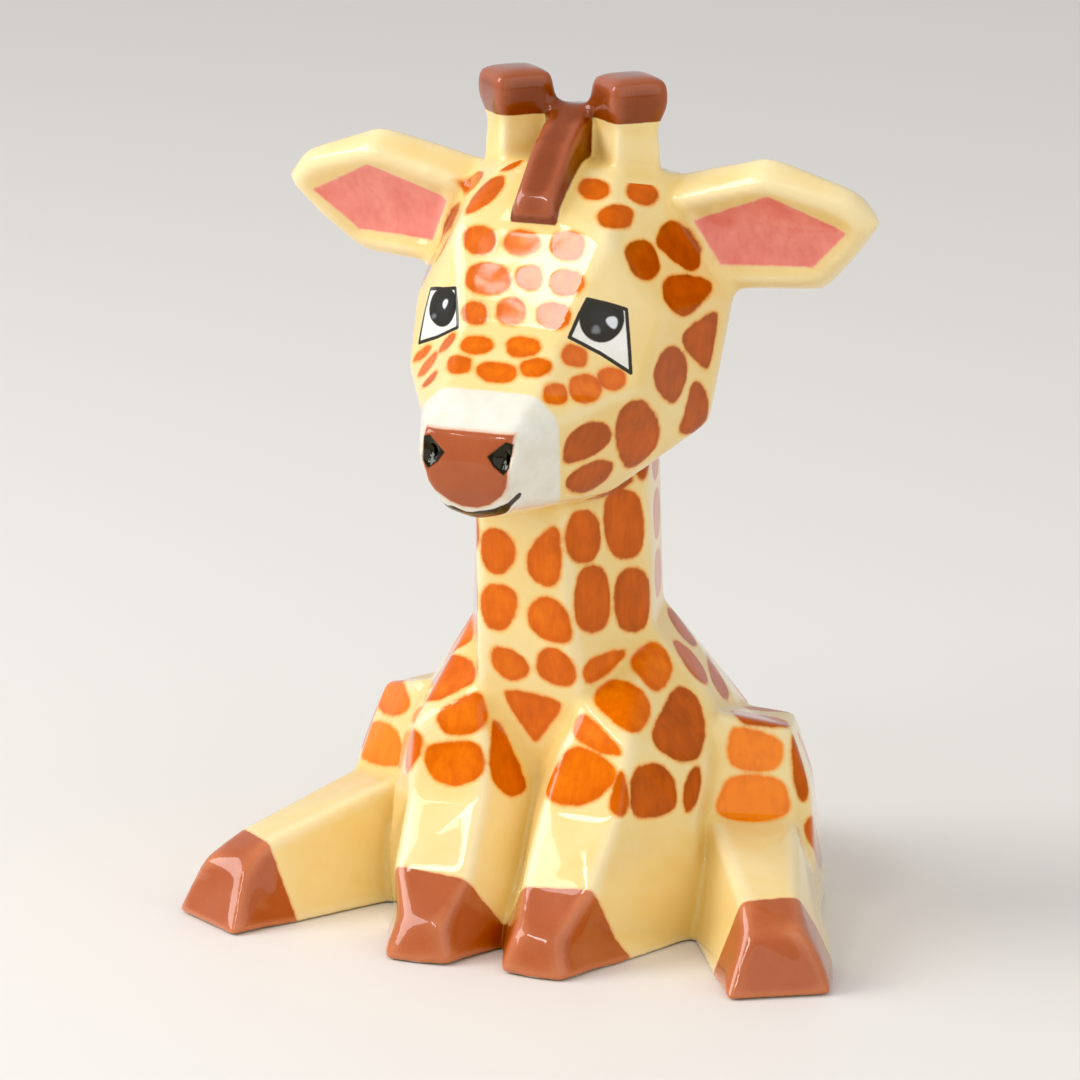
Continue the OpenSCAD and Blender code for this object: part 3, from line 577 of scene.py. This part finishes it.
BACK = {
    # back of the head, either side of the mane
    "h0": ((13, 20, 149), (0.3, 0.75, 0.6), 8.5, 8, 0.2),
    "h1": ((22, 17, 140), (0.55, 0.8, 0.2), 9, 10, -0.2),
    "h2": ((11.5, 24.5, 138), (0.25, 0.95, 0.15), 8.5, 9, 0),
    "h3": ((10.5, 23.5, 126.5), (0.2, 0.98, 0), 8, 10.5, 0),
    "h4": ((21, 18.5, 127.5), (0.5, 0.85, 0), 9, 10.5, 0.2),
    "h5": ((17.5, 18, 115.5), (0.4, 0.9, -0.1), 9, 8.5, 0),
    "h6": ((28.5, 11, 119), (0.9, 0.45, -0.1), 8, 9.5, 0),
    "h7": ((31.5, 7.5, 131), (0.9, 0.45, 0), 7, 9, 0),
    # back of the neck
    "n0": ((11.5, 9, 102), (0.6, 0.8, 0), 8.5, 10, 0),
    "n1": ((11.5, 9, 89.5), (0.6, 0.8, 0), 8.5, 10.5, 0),
    "n2": ((11.5, 9.5, 77), (0.6, 0.8, 0), 8.5, 10.5, 0),
    "n3": ((17.5, -1, 96), (0.95, 0.3, 0), 9, 9.5, 0),
    "n4": ((17.5, -1, 84), (0.95, 0.3, 0), 9, 10.5, 0),
    "n5": ((18, -1, 71.5), (0.95, 0.3, 0), 9.5, 10, 0),
    # back
    "b0": ((10, 20, 59), (0.2, 0.75, 0.65), 10, 8.5, 0.1),
    "b1": ((0, 25, 56), (0, 0.75, 0.65), 7.5, 7.5, 0),
    "b2": ((18, 22, 50), (0.4, 0.75, 0.55), 9.5, 9, -0.2),
    "b3": ((6.5, 30, 48.5), (0.1, 0.8, 0.6), 9.5, 9, 0),
    "b4": ((16.5, 33, 39), (0.2, 0.8, 0.55), 10.5, 9.5, 0),
    "b5": ((4.5, 38.5, 39.5), (0.05, 0.85, 0.5), 7, 8, 0),
    "b6": ((9.5, 44.5, 28.5), (0.15, 1, 0.1), 10, 9.5, 0),
    "b7": ((20.5, 40.5, 27.5), (0.5, 0.85, 0.1), 8, 10.5, 0),
    "b8": ((14.5, 44.5, 16), (0.2, 1, 0.1), 10.5, 9.5, 0),
    "b9": ((26.5, 28, 29), (0.95, 0.3, 0.1), 9, 10, 0),
    "b10": ((25.5, 32, 16.5), (0.95, 0.3, 0), 10, 9.5, 0),
    "b11": ((12, 45, 5.8), (0.1, 1, 0), 9, 6.5, 0),
    "b12": ((27.5, 25, 42), (0.75, 0.4, 0.5), 6.5, 9, 0),
    "b13": ((22.5, 38, 6), (0.8, 0.6, 0), 8, 7, 0),
}
for name, (c, n, w, h, turn) in BACK.items():
    for s in (1, -1):
        if s < 0 and c[0] == 0:
            continue
        SPOTS[f"{name}{'L' if s > 0 else 'R'}"] = patch((c[0] * s, c[1], c[2]), (n[0] * s, n[1], n[2]), w, h, turn * s)

fields = {}
f = np.full(len(co), FAR)
spot_shade = np.zeros(len(co))
rng = np.random.default_rng(7)
# how dark each group of spots is: darker on facets turned away from the light and lighter on lit facets, which is
# partly painted shade and painted light and partly thicker and thinner paint; each spot adds a small random spread
SPOT_SHADE_BY_GROUP = {"side": -0.85, "jawL": -0.8, "jawR": -0.8, "crow": -0.25, "fore": 0.05, "brid": 0.05, "chee": 0.05, "chest": -0.05, "neckL": -0.45, "neckR": -0.45,
        "neck": 0.0, "shL5": -0.7, "shL6": -0.75, "shL7": -0.7, "shR5": -0.4, "shL4": -0.2, "sh": 0.15, "thL0": 0.8, "thL1": 0.9, "thR0": 0.5, "thR1": 0.7,
        "thL2": -0.5, "thL3": -0.5, "th": -0.4, "bk": -0.6}
for name, ps in SPOTS.items():
    key = max((k for k in SPOT_SHADE_BY_GROUP if name.startswith(k)), key=len, default=None)
    mine = (SPOT_SHADE_BY_GROUP[key] if key else -0.4) + rng.uniform(-0.12, 0.12)
    idx, _ = paint(f, ps)
    spot_shade[idx] = mine
fields["spots"] = f - 0.3
fields["spot_shade"] = spot_shade

f = np.full(len(co), FAR)
for n in ("eyeL", "eyeR"):
    paint(f, MARKS[n], smooth_line=False)
fields["eye"] = f
f = np.full(len(co), FAR)
for n in ("irisL", "irisR"):
    paint(f, MARKS[n])
fields["iris"] = f
f = np.full(len(co), FAR)
for n in ("hiL0", "hiR0"):
    paint(f, MARKS[n])
fields["glint"] = f
f = np.full(len(co), FAR)
for n in ("hiL1", "hiR1"):
    paint(f, MARKS[n])
fields["glow"] = f

# nose plate, nostrils and mouth
x, y, z = co.T
ax = np.abs(x)
NOSE = np.array([(-9.4, 112.4), (9.4, 112.4), (9.5, 109), (8.9, 105), (8.3, 101.9), (7.2, 100.1), (4.2, 97.8), (1.6, 96.9),
                 (-1.6, 96.9), (-4.2, 97.8), (-7.2, 100.1), (-8.3, 101.9), (-8.9, 105), (-9.5, 109)])
dist, inside = edge_dist(co[:, [0, 2]], NOSE)
nose = np.where(inside, -dist, dist)
nose = np.maximum(nose, (y + 52))
nose[nor[:, 1] > 0.2] = FAR
fields["nose"] = np.minimum(nose, FAR)
pit = np.array([(4.6, 108.1), (8.2, 111.1), (9.6, 110.7), (9.2, 106.1), (8.1, 104.6), (6, 106.2)])
dist, inside = edge_dist(np.stack([ax, z], 1), pit)
nostril = np.where(inside, -dist, dist)
nostril[y > -54] = FAR
fields["nostril"] = np.minimum(nostril, FAR)
f = np.full(len(co), FAR)
paint(f, [(-4, -56.2, 95.6), (-1.5, -55.6, 94.6), (0.5, -55.8, 94.6), (2.1, -56.1, 95.1), (3.9, -56.1, 95.7), (6.3, -55.9, 96.8)], wide=3.0, depth=6, facing=-0.6, reach=2)
paint(f, [(3.9, -56, 95.5), (6.4, -55.9, 96.7), (7.6, -55.3, 97.7), (8.7, -53.9, 98.8)], wide=1.7, depth=6, facing=-0.6, reach=2)
paint(f, [(-3.4, -56, 95.4), (-5.8, -55.9, 96.4), (-7.2, -55.3, 97.5), (-8.5, -53.9, 98.7)], wide=1.7, depth=6, facing=-0.6, reach=2)
fields["mouth"] = f

# white muzzle, in front of its two edges and above the jaw
fields["muzzle"] = np.clip(np.maximum(y - np.maximum(-48.2, 8.25 - 0.5 * z), (88.7 - 0.1 * y) - z) * 0.9, -FAR, FAR)

# brown hooves, tail tuft, horn caps, forelock and mane
fore = (y + 0.5 * z + 38) * 0.894
fore[(ax > 36) | (z > 30)] = FAR
hind = (60.9 - (0.6 * ax - 0.8 * y - 0.244 * z)) * 0.97
hind[(ax < 38) | (z > 40)] = FAR
tuft = np.maximum(z - 10.3, RUMP + 1.2 - y)
tuft[ax > 8] = FAR
fields["hoof"] = np.clip(np.minimum.reduce([fore, hind, tuft]), -FAR, FAR)
lock = np.array(forelock_side, float)
dist, inside = edge_dist(co[:, 1:], lock)
lock = np.maximum(np.where(inside, -dist, dist) - 0.9, ax - 5.1)
dist, inside = edge_dist(co[:, 1:], np.array(mane_side, float))
mane = np.maximum(np.where(inside, -dist, dist) - 0.9, ax - 4.6)
mane[y < 4] = FAR
caps = 166.6 - z
fields["dark"] = np.clip(np.minimum.reduce([lock, mane, caps]), -FAR, FAR)
ear = np.array([(58.7, 146.2), (43.8, 153.7), (27, 147), (31.8, 137.6), (50, 137.8)])
dist, inside = edge_dist(np.stack([ax, z], 1), ear)
ear = np.where(inside, -dist, dist)
ear[(y > 4) | (nor[:, 1] > 0) | (ax < 24)] = FAR
fields["pink"] = np.clip(ear, -FAR, FAR)

# how hollow the skin is at each point: glaze pools in hollows and runs thin over edges, and the cream colours drawn
# from it also stand for painted shade in hollows and a painted highlight over edges
wide_co = smooth(co, edges, np.full(len(co), 0.8), rounds(30))
hollow = ((wide_co - co) * nor).sum(1)
fields["hollow"] = np.clip(hollow, -1.5, 1.5)

# ---------------------------------------------------------------------------
# The skin is cut along the castings' joints into one closed piece for each casting
# ---------------------------------------------------------------------------
def grown(ps, k, c=None):
    c = c or mean(ps)
    return [tuple(c[i] + (p[i] - c[i]) * k for i in range(3)) for p in ps]


def wider(ring, d):
    c = mean(ring)
    return [tuple(p[i] + (p[i] - c[i]) * d / max(1e-6, math.dist(p, c)) for i in range(3)) for p in ring]


def leg_region(rings, s, d):
    out = [wider(r, d) for r in rings]
    if rings is fore_rings:
        out = [[(max(p[0], 0.0), p[1], p[2]) for p in r] for r in out]
    if rings is fore_rings:
        out[0] = shift(out[0], (0.3, 0.5, 0.3))
        out[-1] = shift(out[-1], (0, -0.5, -2))
    else:
        out[0] = shift(out[0], (-1, 1.5, 0))
        out[-1] = shift(out[-1], (1, -1.5, 0))
    return leg(out, s)


def wide_side(side, d):
    c = (sum(p[0] for p in side) / len(side), sum(p[1] for p in side) / len(side))
    return [(p[0] + (p[0] - c[0]) * d / math.dist(p, c), p[1] + (p[1] - c[1]) * d / math.dist(p, c)) for p in side]


def ear_region(s):
    ps = grown(ear_rim + ear_edge + ear_back + ear_root, 1.07)
    return blob(ps if s > 0 else mir(ps))


def horn_region(s):
    c = (12.5 * s, -4.5)
    return blob(square4(c, 9.6, 150) + square4(c, 9.4, 158) + square4(c, 11.5, 165) + square4(c, 11.5, 179))


fixed = []          # (piece, node, slot)
rest = whole


def take(node, region, slot):
    global rest
    piece = copy_of(rest, node)
    boolean(piece, region, "INTERSECT", keep_b=True)
    boolean(rest, region, "DIFFERENCE")
    fixed.append((piece, node, slot))
    print("cut", node, len(piece.data.vertices), len(rest.data.vertices))


for s, side in ((1, "left"), (-1, "right")):
    take(f"ear_{side}", ear_region(s), "ear_glaze")
take("forelock", slab(wide_side(forelock_side, 1.3), 10.6), "brown_glaze")
for s, side in ((1, "left"), (-1, "right")):
    take(f"ossicone_{side}", horn_region(s), "horn_glaze")
take("nape_mane", slab(wide_side(mane_side, 1.3), 9.8), "brown_glaze")
take("head_casting", scaled(head_outer(), head_c, (1.035, 1.035, 1.035)), "spotted_glaze")
tail_region = boolean(blob(grown(both(tail_top), 1.12)), blob(grown(both(tail_tuft), 1.25)), "UNION")
take("tail", tail_region, "tail_glaze")
for s, side in ((1, "left"), (-1, "right")):
    take(f"foreleg_{side}", leg_region(fore_rings, s, 1.3), "leg_glaze")
for s, side in ((1, "left"), (-1, "right")):
    take(f"hindleg_{side}", leg_region(hind_rings, s, 2.2), "leg_glaze")
neck_region = blob(both(pinch(neck_low, (0, -8, 62), (1.3, 1.3, 1)) + pinch(neck_up, (0, -8, 62), (1.3, 1.3, 1)) + [(20, 0, 130)]))
take("neck_casting", neck_region, "spotted_glaze")
# the torso is hollow, and open at its vent
boolean(rest, blob(pinch(torso_pts, (0, 5, 28), (1 - 5 / 32, 1 - 5 / 36, 1 - 5 / 30))), "DIFFERENCE")
bm = bmesh.new()
bmesh.ops.create_cone(bm, cap_ends=True, segments=64, radius1=5, radius2=5, depth=20, matrix=Matrix.Translation((0, 12, 5)))
boolean(rest, obj_from(bm, "vent"), "DIFFERENCE")
fixed.append((rest, "torso_casting", "spotted_glaze"))


def tidy(piece):
    """Welds points that lie on each other."""
    bm = bmesh.new()
    bm.from_mesh(piece.data)
    bmesh.ops.remove_doubles(bm, verts=bm.verts, dist=0.002)
    bmesh.ops.dissolve_degenerate(bm, dist=0.0005, edges=bm.edges)
    bmesh.ops.triangulate(bm, faces=bm.faces)
    seen, parts = set(), []
    for v in bm.verts:
        if v in seen:
            continue
        stack, part = [v], []
        seen.add(v)
        while stack:
            w = stack.pop()
            part.append(w)
            for e in w.link_edges:
                o = e.other_vert(w)
                if o not in seen:
                    seen.add(o)
                    stack.append(o)
        parts.append(part)
    parts.sort(key=len)
    if len(parts) > 1:
        print("  parts", piece.name, [len(p) for p in parts][-6:], [tuple(round(c, 1) for c in p[0].co) for p in parts][-6:])
    bad = sum(1 for e in bm.edges if len(e.link_faces) != 2)
    if bad:
        print("  open edges", piece.name, bad)
    bm.to_mesh(piece.data)
    bm.free()
    piece.data.update()


def dress(piece, node, mats):
    """Gives a piece the skin's paint and the skin's own shading, so that no joint shows."""
    tidy(piece)
    m = piece.data
    p = coords(m)
    n = len(p)
    idx = np.zeros(n, np.int64)
    loc = np.zeros((n, 3))
    dist = np.zeros(n)
    for i, q in enumerate(p.tolist()):
        a, _, k, d = skin_bvh.find_nearest(q)
        idx[i], loc[i], dist[i] = k, a, d
    t = tri[idx]
    a, b, c = co[t[:, 0]], co[t[:, 1]], co[t[:, 2]]
    v0, v1, v2 = b - a, c - a, loc - a
    d00, d01, d11 = (v0 * v0).sum(1), (v0 * v1).sum(1), (v1 * v1).sum(1)
    d20, d21 = (v2 * v0).sum(1), (v2 * v1).sum(1)
    den = np.maximum(d00 * d11 - d01 * d01, 1e-12)
    wb = np.clip((d11 * d20 - d01 * d21) / den, 0, 1)
    wc = np.clip((d00 * d21 - d01 * d20) / den, 0, 1 - wb)
    w = np.stack([1 - wb - wc, wb, wc], 1)
    for name, f in fields.items():
        at = m.attributes.new(name, "FLOAT", "POINT")
        at.data.foreach_set("value", (f[t] * w).sum(1).astype(np.float32))
    vn = (nor[t] * w[:, :, None]).sum(1)
    vn /= np.maximum(np.linalg.norm(vn, axis=1), 1e-9)[:, None]
    faces = np.zeros(len(m.polygons) * 3, np.int32)
    m.polygons.foreach_get("vertices", faces)
    faces = faces.reshape(-1, 3)
    fn = np.cross(p[faces[:, 1]] - p[faces[:, 0]], p[faces[:, 2]] - p[faces[:, 0]])
    fn /= np.maximum(np.linalg.norm(fn, axis=1), 1e-12)[:, None]
    outer = (dist[faces].max(1) < 0.01) & ((vn[faces].mean(1) * fn).sum(1) > 0.35)
    m.polygons.foreach_set("use_smooth", np.ones(len(faces), bool))
    ln = np.where(outer[:, None, None], vn[faces], fn[:, None, :])
    m.normals_split_custom_set(ln.reshape(-1, 3).tolist())
    m.materials.clear()
    for mat in mats:
        m.materials.append(mat)
    under = (p[faces][:, :, 2].max(1) < 0.5) & (fn[:, 2] < -0.6)
    hidden = (~outer) & ~under
    m.polygons.foreach_set("material_index", (under | hidden).astype(np.int32))
    scaled(piece, (0, 0, 0), (MM, MM, MM))
    piece.name = f"{node}_glazed"
    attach(piece, "root")
    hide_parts(node)
    print("piece", piece.name, n, len(faces), "outer", int(outer.sum()))


# ---------------------------------------------------------------------------
# Glaze
# ---------------------------------------------------------------------------
def lin(r, g, b):
    return tuple((c / 12.92 if c <= 0.04045 else ((c + 0.055) / 1.055) ** 2.4) for c in (r / 255, g / 255, b / 255)) + (1,)


class Graph:
    """A short way to write a material's nodes."""

    def __init__(self, name):
        self.mat = bpy.data.materials.new(name)
        self.mat.use_nodes = True
        self.nt = self.mat.node_tree
        self.bsdf = self.nt.nodes["Principled BSDF"]
        tc = self.node("ShaderNodeTexCoord")
        scale = self.node("ShaderNodeVectorMath", operation="SCALE")
        scale.inputs["Scale"].default_value = 1000
        self.nt.links.new(tc.outputs["Object"], scale.inputs[0])
        self.p = scale.outputs[0]

    def node(self, kind, **props):
        n = self.nt.nodes.new(kind)
        for k, v in props.items():
            setattr(n, k, v)
        return n

    def put(self, socket, value):
        if isinstance(value, bpy.types.NodeSocket):
            self.nt.links.new(value, socket)
        else:
            socket.default_value = value

    def math(self, op, a, b=0.0, clamp=False):
        n = self.node("ShaderNodeMath", operation=op, use_clamp=clamp)
        self.put(n.inputs[0], a)
        self.put(n.inputs[1], b)
        return n.outputs[0]

    def add(self, *xs):
        out = xs[0]
        for x in xs[1:]:
            out = self.math("ADD", out, x)
        return out

    def times(self, a, b):
        return self.math("MULTIPLY", a, b)

    def attr(self, name):
        return self.node("ShaderNodeAttribute", attribute_type="GEOMETRY", attribute_name=name).outputs["Fac"]

    def noise(self, scale, detail=2.0, rough=0.5, stretch=None, distort=0.0):
        """Noise around 0, from about -0.5 to 0.5, with scale in features for each millimetre."""
        n = self.node("ShaderNodeTexNoise", noise_dimensions="3D")
        p = self.p
        if stretch:
            m = self.node("ShaderNodeMapping")
            self.put(m.inputs["Vector"], p)
            m.inputs["Scale"].default_value = stretch[0]
            m.inputs["Rotation"].default_value = stretch[1]
            p = m.outputs[0]
        self.put(n.inputs["Vector"], p)
        n.inputs["Scale"].default_value = scale
        n.inputs["Detail"].default_value = detail
        n.inputs["Roughness"].default_value = rough
        n.inputs["Distortion"].default_value = distort
        return self.math("SUBTRACT", n.outputs["Fac"], 0.5)

    def step(self, x, at1, at0, smooth=True):
        """1 where x is at1, 0 where it is at0."""
        n = self.node("ShaderNodeMapRange", interpolation_type="SMOOTHSTEP" if smooth else "LINEAR")
        self.put(n.inputs["Value"], x)
        lo, hi = (at1, at0) if at1 < at0 else (at0, at1)
        n.inputs["From Min"].default_value = lo
        n.inputs["From Max"].default_value = hi
        n.inputs["To Min"].default_value = 1 if at1 < at0 else 0
        n.inputs["To Max"].default_value = 0 if at1 < at0 else 1
        return n.outputs["Result"]

    def mix(self, fac, a, b, how="MIX"):
        n = self.node("ShaderNodeMix", data_type="RGBA", blend_type=how, clamp_factor=True)
        self.put(n.inputs[0], fac)
        self.put(n.inputs[6], a)
        self.put(n.inputs[7], b)
        return n.outputs[2]


CREAM = lin(244, 221, 160)
CREAM_THIN_SHEEN = lin(247, 232, 190)
CREAM_DEEP = lin(238, 199, 112)
SPOT = lin(218, 98, 0)
SPOT_DEEP = lin(172, 74, 0)
SPOT_LIGHT = lin(252, 134, 2)
SPOT_HALO = lin(246, 184, 96)
BROWN = lin(184, 96, 58)
BROWN_DEEP = lin(152, 72, 42)
BROWN_THIN = lin(206, 124, 84)
NOSE_BROWN = lin(172, 88, 54)
DARK = lin(140, 66, 38)
DARK_DEEP = lin(108, 48, 27)
PINK = lin(246, 152, 138)
PINK_DEEP = lin(232, 122, 112)
WHITE = lin(240, 238, 226)
BLACK = lin(14, 13, 13)


def glaze(name, spots=False, face=False, hoof=False, dark=False, pink=False):
    g = Graph(name)
    broad = g.noise(0.045, 2)
    cloud = g.noise(0.16, 3, 0.6)
    wob = g.add(g.times(g.noise(0.45, 2), 0.8), g.times(g.noise(1.5, 1), 0.16))
    fine = g.noise(3.0, 3, 0.6)
    streak = g.noise(0.55, 3, 0.6, stretch=((1.0, 1.0, 0.22), (0.35, 0.2, 0.3)), distort=0.4)
    hollow = g.attr("hollow")
    # cream glaze: thicker and yellower in hollows, thinner and paler over edges; the yellower hollows are partly
    # painted shade and the paler edges partly a painted highlight
    pool_shade = g.step(g.add(g.times(hollow, 1.0), g.times(cloud, 0.12)), 0.42, -0.02)
    thin_sheen = g.step(g.add(hollow, g.times(cloud, 0.1)), -0.45, -0.06)
    col = g.mix(g.step(g.add(broad, g.times(cloud, 0.5)), 0.3, -0.3), CREAM, CREAM_DEEP)
    col = g.mix(0.55, CREAM, col)
    col = g.mix(g.times(pool_shade, 0.6), col, CREAM_DEEP)
    col = g.mix(g.times(thin_sheen, 0.5), col, CREAM_THIN_SHEEN)
    height = g.add(g.times(g.noise(0.13, 1), 0.5), g.times(fine, 0.012))
    if spots:
        sd = g.add(g.attr("spots"), wob)
        spot_shade = g.attr("spot_shade")
        # the middle of a spot is brushed on unevenly; its rim is a little darker. The spot's shade value also darkens
        # spots on facets turned away from the light and lightens lit ones, as painted shade and painted light.
        depth = g.add(g.times(spot_shade, 0.5), g.times(streak, 0.55), g.times(cloud, 0.6), g.times(g.step(sd, -2.6, -0.5), 0.1), -0.03)
        body = g.mix(g.step(depth, -0.5, 0.0, smooth=False), SPOT, SPOT_DEEP)
        body = g.mix(g.step(depth, 0.5, 0.0, smooth=False), body, SPOT_LIGHT)
        halo = g.step(sd, -0.15, 0.65)
        core = g.step(g.add(sd, g.times(streak, 0.15)), -0.6, 0.12)
        col = g.mix(g.times(halo, 0.8), col, SPOT_HALO)
        col = g.mix(core, col, body)
        height = g.add(height, g.times(core, 0.06))
    if pink:
        sd = g.add(g.attr("pink"), g.times(wob, 0.6))
        pk = g.mix(g.step(g.add(g.times(streak, 0.8), cloud), 0.4, -0.4), PINK, PINK_DEEP)
        pk = g.mix(g.times(g.step(hollow, 0.5, 0.0), 0.5), pk, PINK_DEEP)
        col = g.mix(g.times(g.step(sd, -0.2, 0.7), 0.5), col, lin(245, 196, 160))
        col = g.mix(g.step(sd, -0.35, 0.25), col, pk)
    if face:
        sd = g.add(g.attr("muzzle"), g.times(wob, 0.35))
        wh = g.mix(g.step(cloud, 0.3, -0.3), WHITE, lin(228, 224, 206))
        # the white also greys in hollows: thicker glaze and painted shade
        wh = g.mix(g.times(pool_shade, 0.5), wh, lin(216, 208, 180))
        col = g.mix(g.step(sd, -0.35, 0.35), col, wh)
    if hoof or face or dark:
        thinb = g.step(g.add(hollow, g.times(fine, 0.15)), -0.55, -0.12)
        poolb = g.step(g.add(hollow, g.times(fine, 0.15)), 0.5, 0.05)
        grain = g.step(g.add(g.times(cloud, 0.8), g.times(fine, 0.5), g.times(streak, 0.4)), 0.5, -0.5)
    if hoof or face:
        sd = g.attr("nose" if face else "hoof")
        sd = g.add(sd, g.times(wob, 0.25 if face else 0.7))
        br = g.mix(grain, BROWN, BROWN_DEEP)
        br = g.mix(0.5, br, NOSE_BROWN if face else BROWN)
        br = g.mix(g.times(thinb, 0.75), br, BROWN_THIN)
        br = g.mix(g.times(poolb, 0.6), br, BROWN_DEEP)
        col = g.mix(g.times(g.step(sd, 0.0, 0.7), 0.55), col, lin(226, 150, 100))
        col = g.mix(g.step(sd, -0.18, 0.18), col, br)
        height = g.add(height, g.times(g.step(sd, -0.3, 0.2), 0.12))
    if dark:
        sd = g.add(g.attr("dark"), g.times(wob, 0.3))
        dk = g.mix(grain, DARK, DARK_DEEP)
        dk = g.mix(0.5, dk, DARK)
        dk = g.mix(g.times(thinb, 0.7), dk, lin(176, 96, 66))
        dk = g.mix(g.times(poolb, 0.7), dk, DARK_DEEP)
        col = g.mix(g.step(sd, -0.15, 0.2), col, dk)
        height = g.add(height, g.times(g.step(sd, -0.3, 0.2), 0.12))
    if face:
        ragged = g.add(g.times(fine, 0.16), g.times(wob, 0.12))
        eye = g.attr("eye")
        inside = g.step(g.add(eye, ragged), -0.12, 0.12)
        col = g.mix(inside, col, g.mix(g.step(g.noise(0.3, 2), 0.3, -0.3), lin(244, 243, 236), lin(226, 224, 212)))
        lid = g.step(g.math("ABSOLUTE", g.add(eye, ragged)), 0.28, 0.5)
        iris = g.times(g.step(g.add(g.attr("iris"), ragged), -0.15, 0.2), inside)
        ink = g.mix(g.step(g.add(g.attr("iris"), g.times(fine, 1.2)), -4.0, -1.2), BLACK, lin(30, 30, 36))
        col = g.mix(iris, col, ink)
        col = g.mix(lid, col, lin(24, 20, 17))
        col = g.mix(g.times(g.step(g.add(g.attr("glint"), ragged), -0.2, 0.25), 0.92), col, lin(225, 230, 232))
        col = g.mix(g.times(g.step(g.add(g.attr("glow"), ragged), -0.4, 0.4), 0.6), col, lin(140, 146, 152))
        ns = g.step(g.add(g.attr("nostril"), ragged), -0.15, 0.3)
        col = g.mix(ns, col, BLACK)
        ms = g.step(g.add(g.attr("mouth"), ragged), -0.1, 0.25)
        col = g.mix(ms, col, lin(36, 33, 34))
    g.put(g.bsdf.inputs["Base Color"], col)
    b = g.bsdf
    g.put(b.inputs["Roughness"], g.add(0.36, g.times(cloud, 0.12), g.times(fine, 0.05)))
    b.inputs["IOR"].default_value = 1.5
    b.inputs["Coat Weight"].default_value = 1.0
    b.inputs["Specular IOR Level"].default_value = 0.1
    b.inputs["Coat Roughness"].default_value = 0.03
    b.inputs["Coat IOR"].default_value = 1.43
    bump = g.node("ShaderNodeBump")
    bump.inputs["Strength"].default_value = 0.55
    bump.inputs["Distance"].default_value = 0.0001
    g.put(bump.inputs["Height"], height)
    g.put(b.inputs["Normal"], bump.outputs[0])
    g.put(b.inputs["Coat Normal"], bump.outputs[0])
    return g.mat


g = Graph("bisque")
grain = g.noise(2.2, 4, 0.7)
g.put(g.bsdf.inputs["Base Color"], g.mix(g.step(g.add(grain, g.noise(0.2, 2)), 0.4, -0.4), lin(226, 214, 196), lin(206, 190, 168)))
g.put(g.bsdf.inputs["Roughness"], g.add(0.85, g.times(grain, 0.15)))
bump = g.node("ShaderNodeBump")
bump.inputs["Strength"].default_value = 0.4
bump.inputs["Distance"].default_value = 0.0001
g.put(bump.inputs["Height"], grain)
g.put(g.bsdf.inputs["Normal"], bump.outputs[0])
bisque = g.mat

GLAZES = {
    "head_casting": glaze("glaze_head", spots=True, face=True, pink=True, dark=True),
    "neck_casting": glaze("glaze_neck", spots=True),
    "torso_casting": glaze("glaze_torso", spots=True, hoof=True),
    "ear": glaze("glaze_ear", pink=True, spots=True),
    "ossicone": glaze("glaze_horn", dark=True),
    "forelock": glaze("glaze_forelock", dark=True),
    "nape_mane": glaze("glaze_mane", dark=True, spots=True),
    "foreleg": glaze("glaze_foreleg", spots=True, hoof=True),
    "hindleg": glaze("glaze_hindleg", spots=True, hoof=True),
    "tail": glaze("glaze_tail", hoof=True, spots=True),
}
for piece, node, slot in fixed:
    key = node if node in GLAZES else node.split("_")[0]
    dress(piece, node, [GLAZES[key], bisque])

# ---------------------------------------------------------------------------
# Floor and light
# ---------------------------------------------------------------------------
bm = bmesh.new()
bmesh.ops.create_grid(bm, x_segments=1, y_segments=1, size=6)
floor = obj_from(bm, "floor")
fm = bpy.data.materials.new("floor")
fm.use_nodes = True
fm.node_tree.nodes["Principled BSDF"].inputs["Base Color"].default_value = lin(236, 233, 228)
fm.node_tree.nodes["Principled BSDF"].inputs["Roughness"].default_value = 0.55
floor.data.materials.append(fm)
world = bpy.data.worlds.new("world")
world.use_nodes = True
world.node_tree.nodes["Background"].inputs["Color"].default_value = (0.93, 0.93, 0.95, 1)
world.node_tree.nodes["Background"].inputs["Strength"].default_value = 0.62
scene.world = world
scene.view_settings.view_transform = "Standard"
scene.view_settings.use_curve_mapping = True
scene.view_settings.curve_mapping.black_level = (0.012, 0.014, 0.022)
scene.view_settings.curve_mapping.update()


def area(name, at, to, size, power, size_y=None, color=(1, 1, 1)):
    l = bpy.data.lights.new(name, "AREA")
    l.shape = "RECTANGLE"
    l.size, l.size_y = size, size_y or size
    l.energy = power
    l.color = color
    o = bpy.data.objects.new(name, l)
    scene.collection.objects.link(o)
    o.location = at
    o.rotation_mode = "QUATERNION"
    o.rotation_quaternion = (Vector(to) - Vector(at)).to_track_quat("-Z", "Y")
    return o


# a tall window high on the left: its edge lies across the forehead, and its bars leave a thin gap
K = Vector((-0.37, -0.617, 0.694)).normalized()
EX = Vector((0, 0, 1)).cross(K).normalized()
EY = K.cross(EX)
ROLL = math.radians(-14.3)
PX, PY = EX * math.cos(ROLL) + EY * math.sin(ROLL), EY * math.cos(ROLL) - EX * math.sin(ROLL)
SILL = Vector((0, -0.03, 0.135)) + K * 0.9 + EX * -0.0261 + EY * 0.0298


def pane(name, x0, x1, y0, y1, radiance, color=(1, 1, 1)):
    """A window pane in the light's own plane, metres right of and above the sill's corner."""
    w, h = x1 - x0, y1 - y0
    o = area(name, SILL + PX * (x0 + x1) / 2 + PY * (y0 + y1) / 2, (0, 0, 0), w, radiance * math.pi * w * h, h, color)
    o.rotation_quaternion = Matrix((PX, PY, K)).transposed().to_quaternion()
    return o


pane("window", 0, 0.36, 0, 0.07, 13)
pane("window_low", 0, 0.36, -0.0078, -0.0036, 13)
area("softbox", (-1.0, -0.5, 0.85), (0, 0, 0.09), 0.8, 12.5, 0.8, (1, 0.985, 0.96))
area("fill", (1.25, -0.85, 0.95), (0, 0, 0.09), 1.8, 7.5, 1.8, (1, 0.985, 0.96))
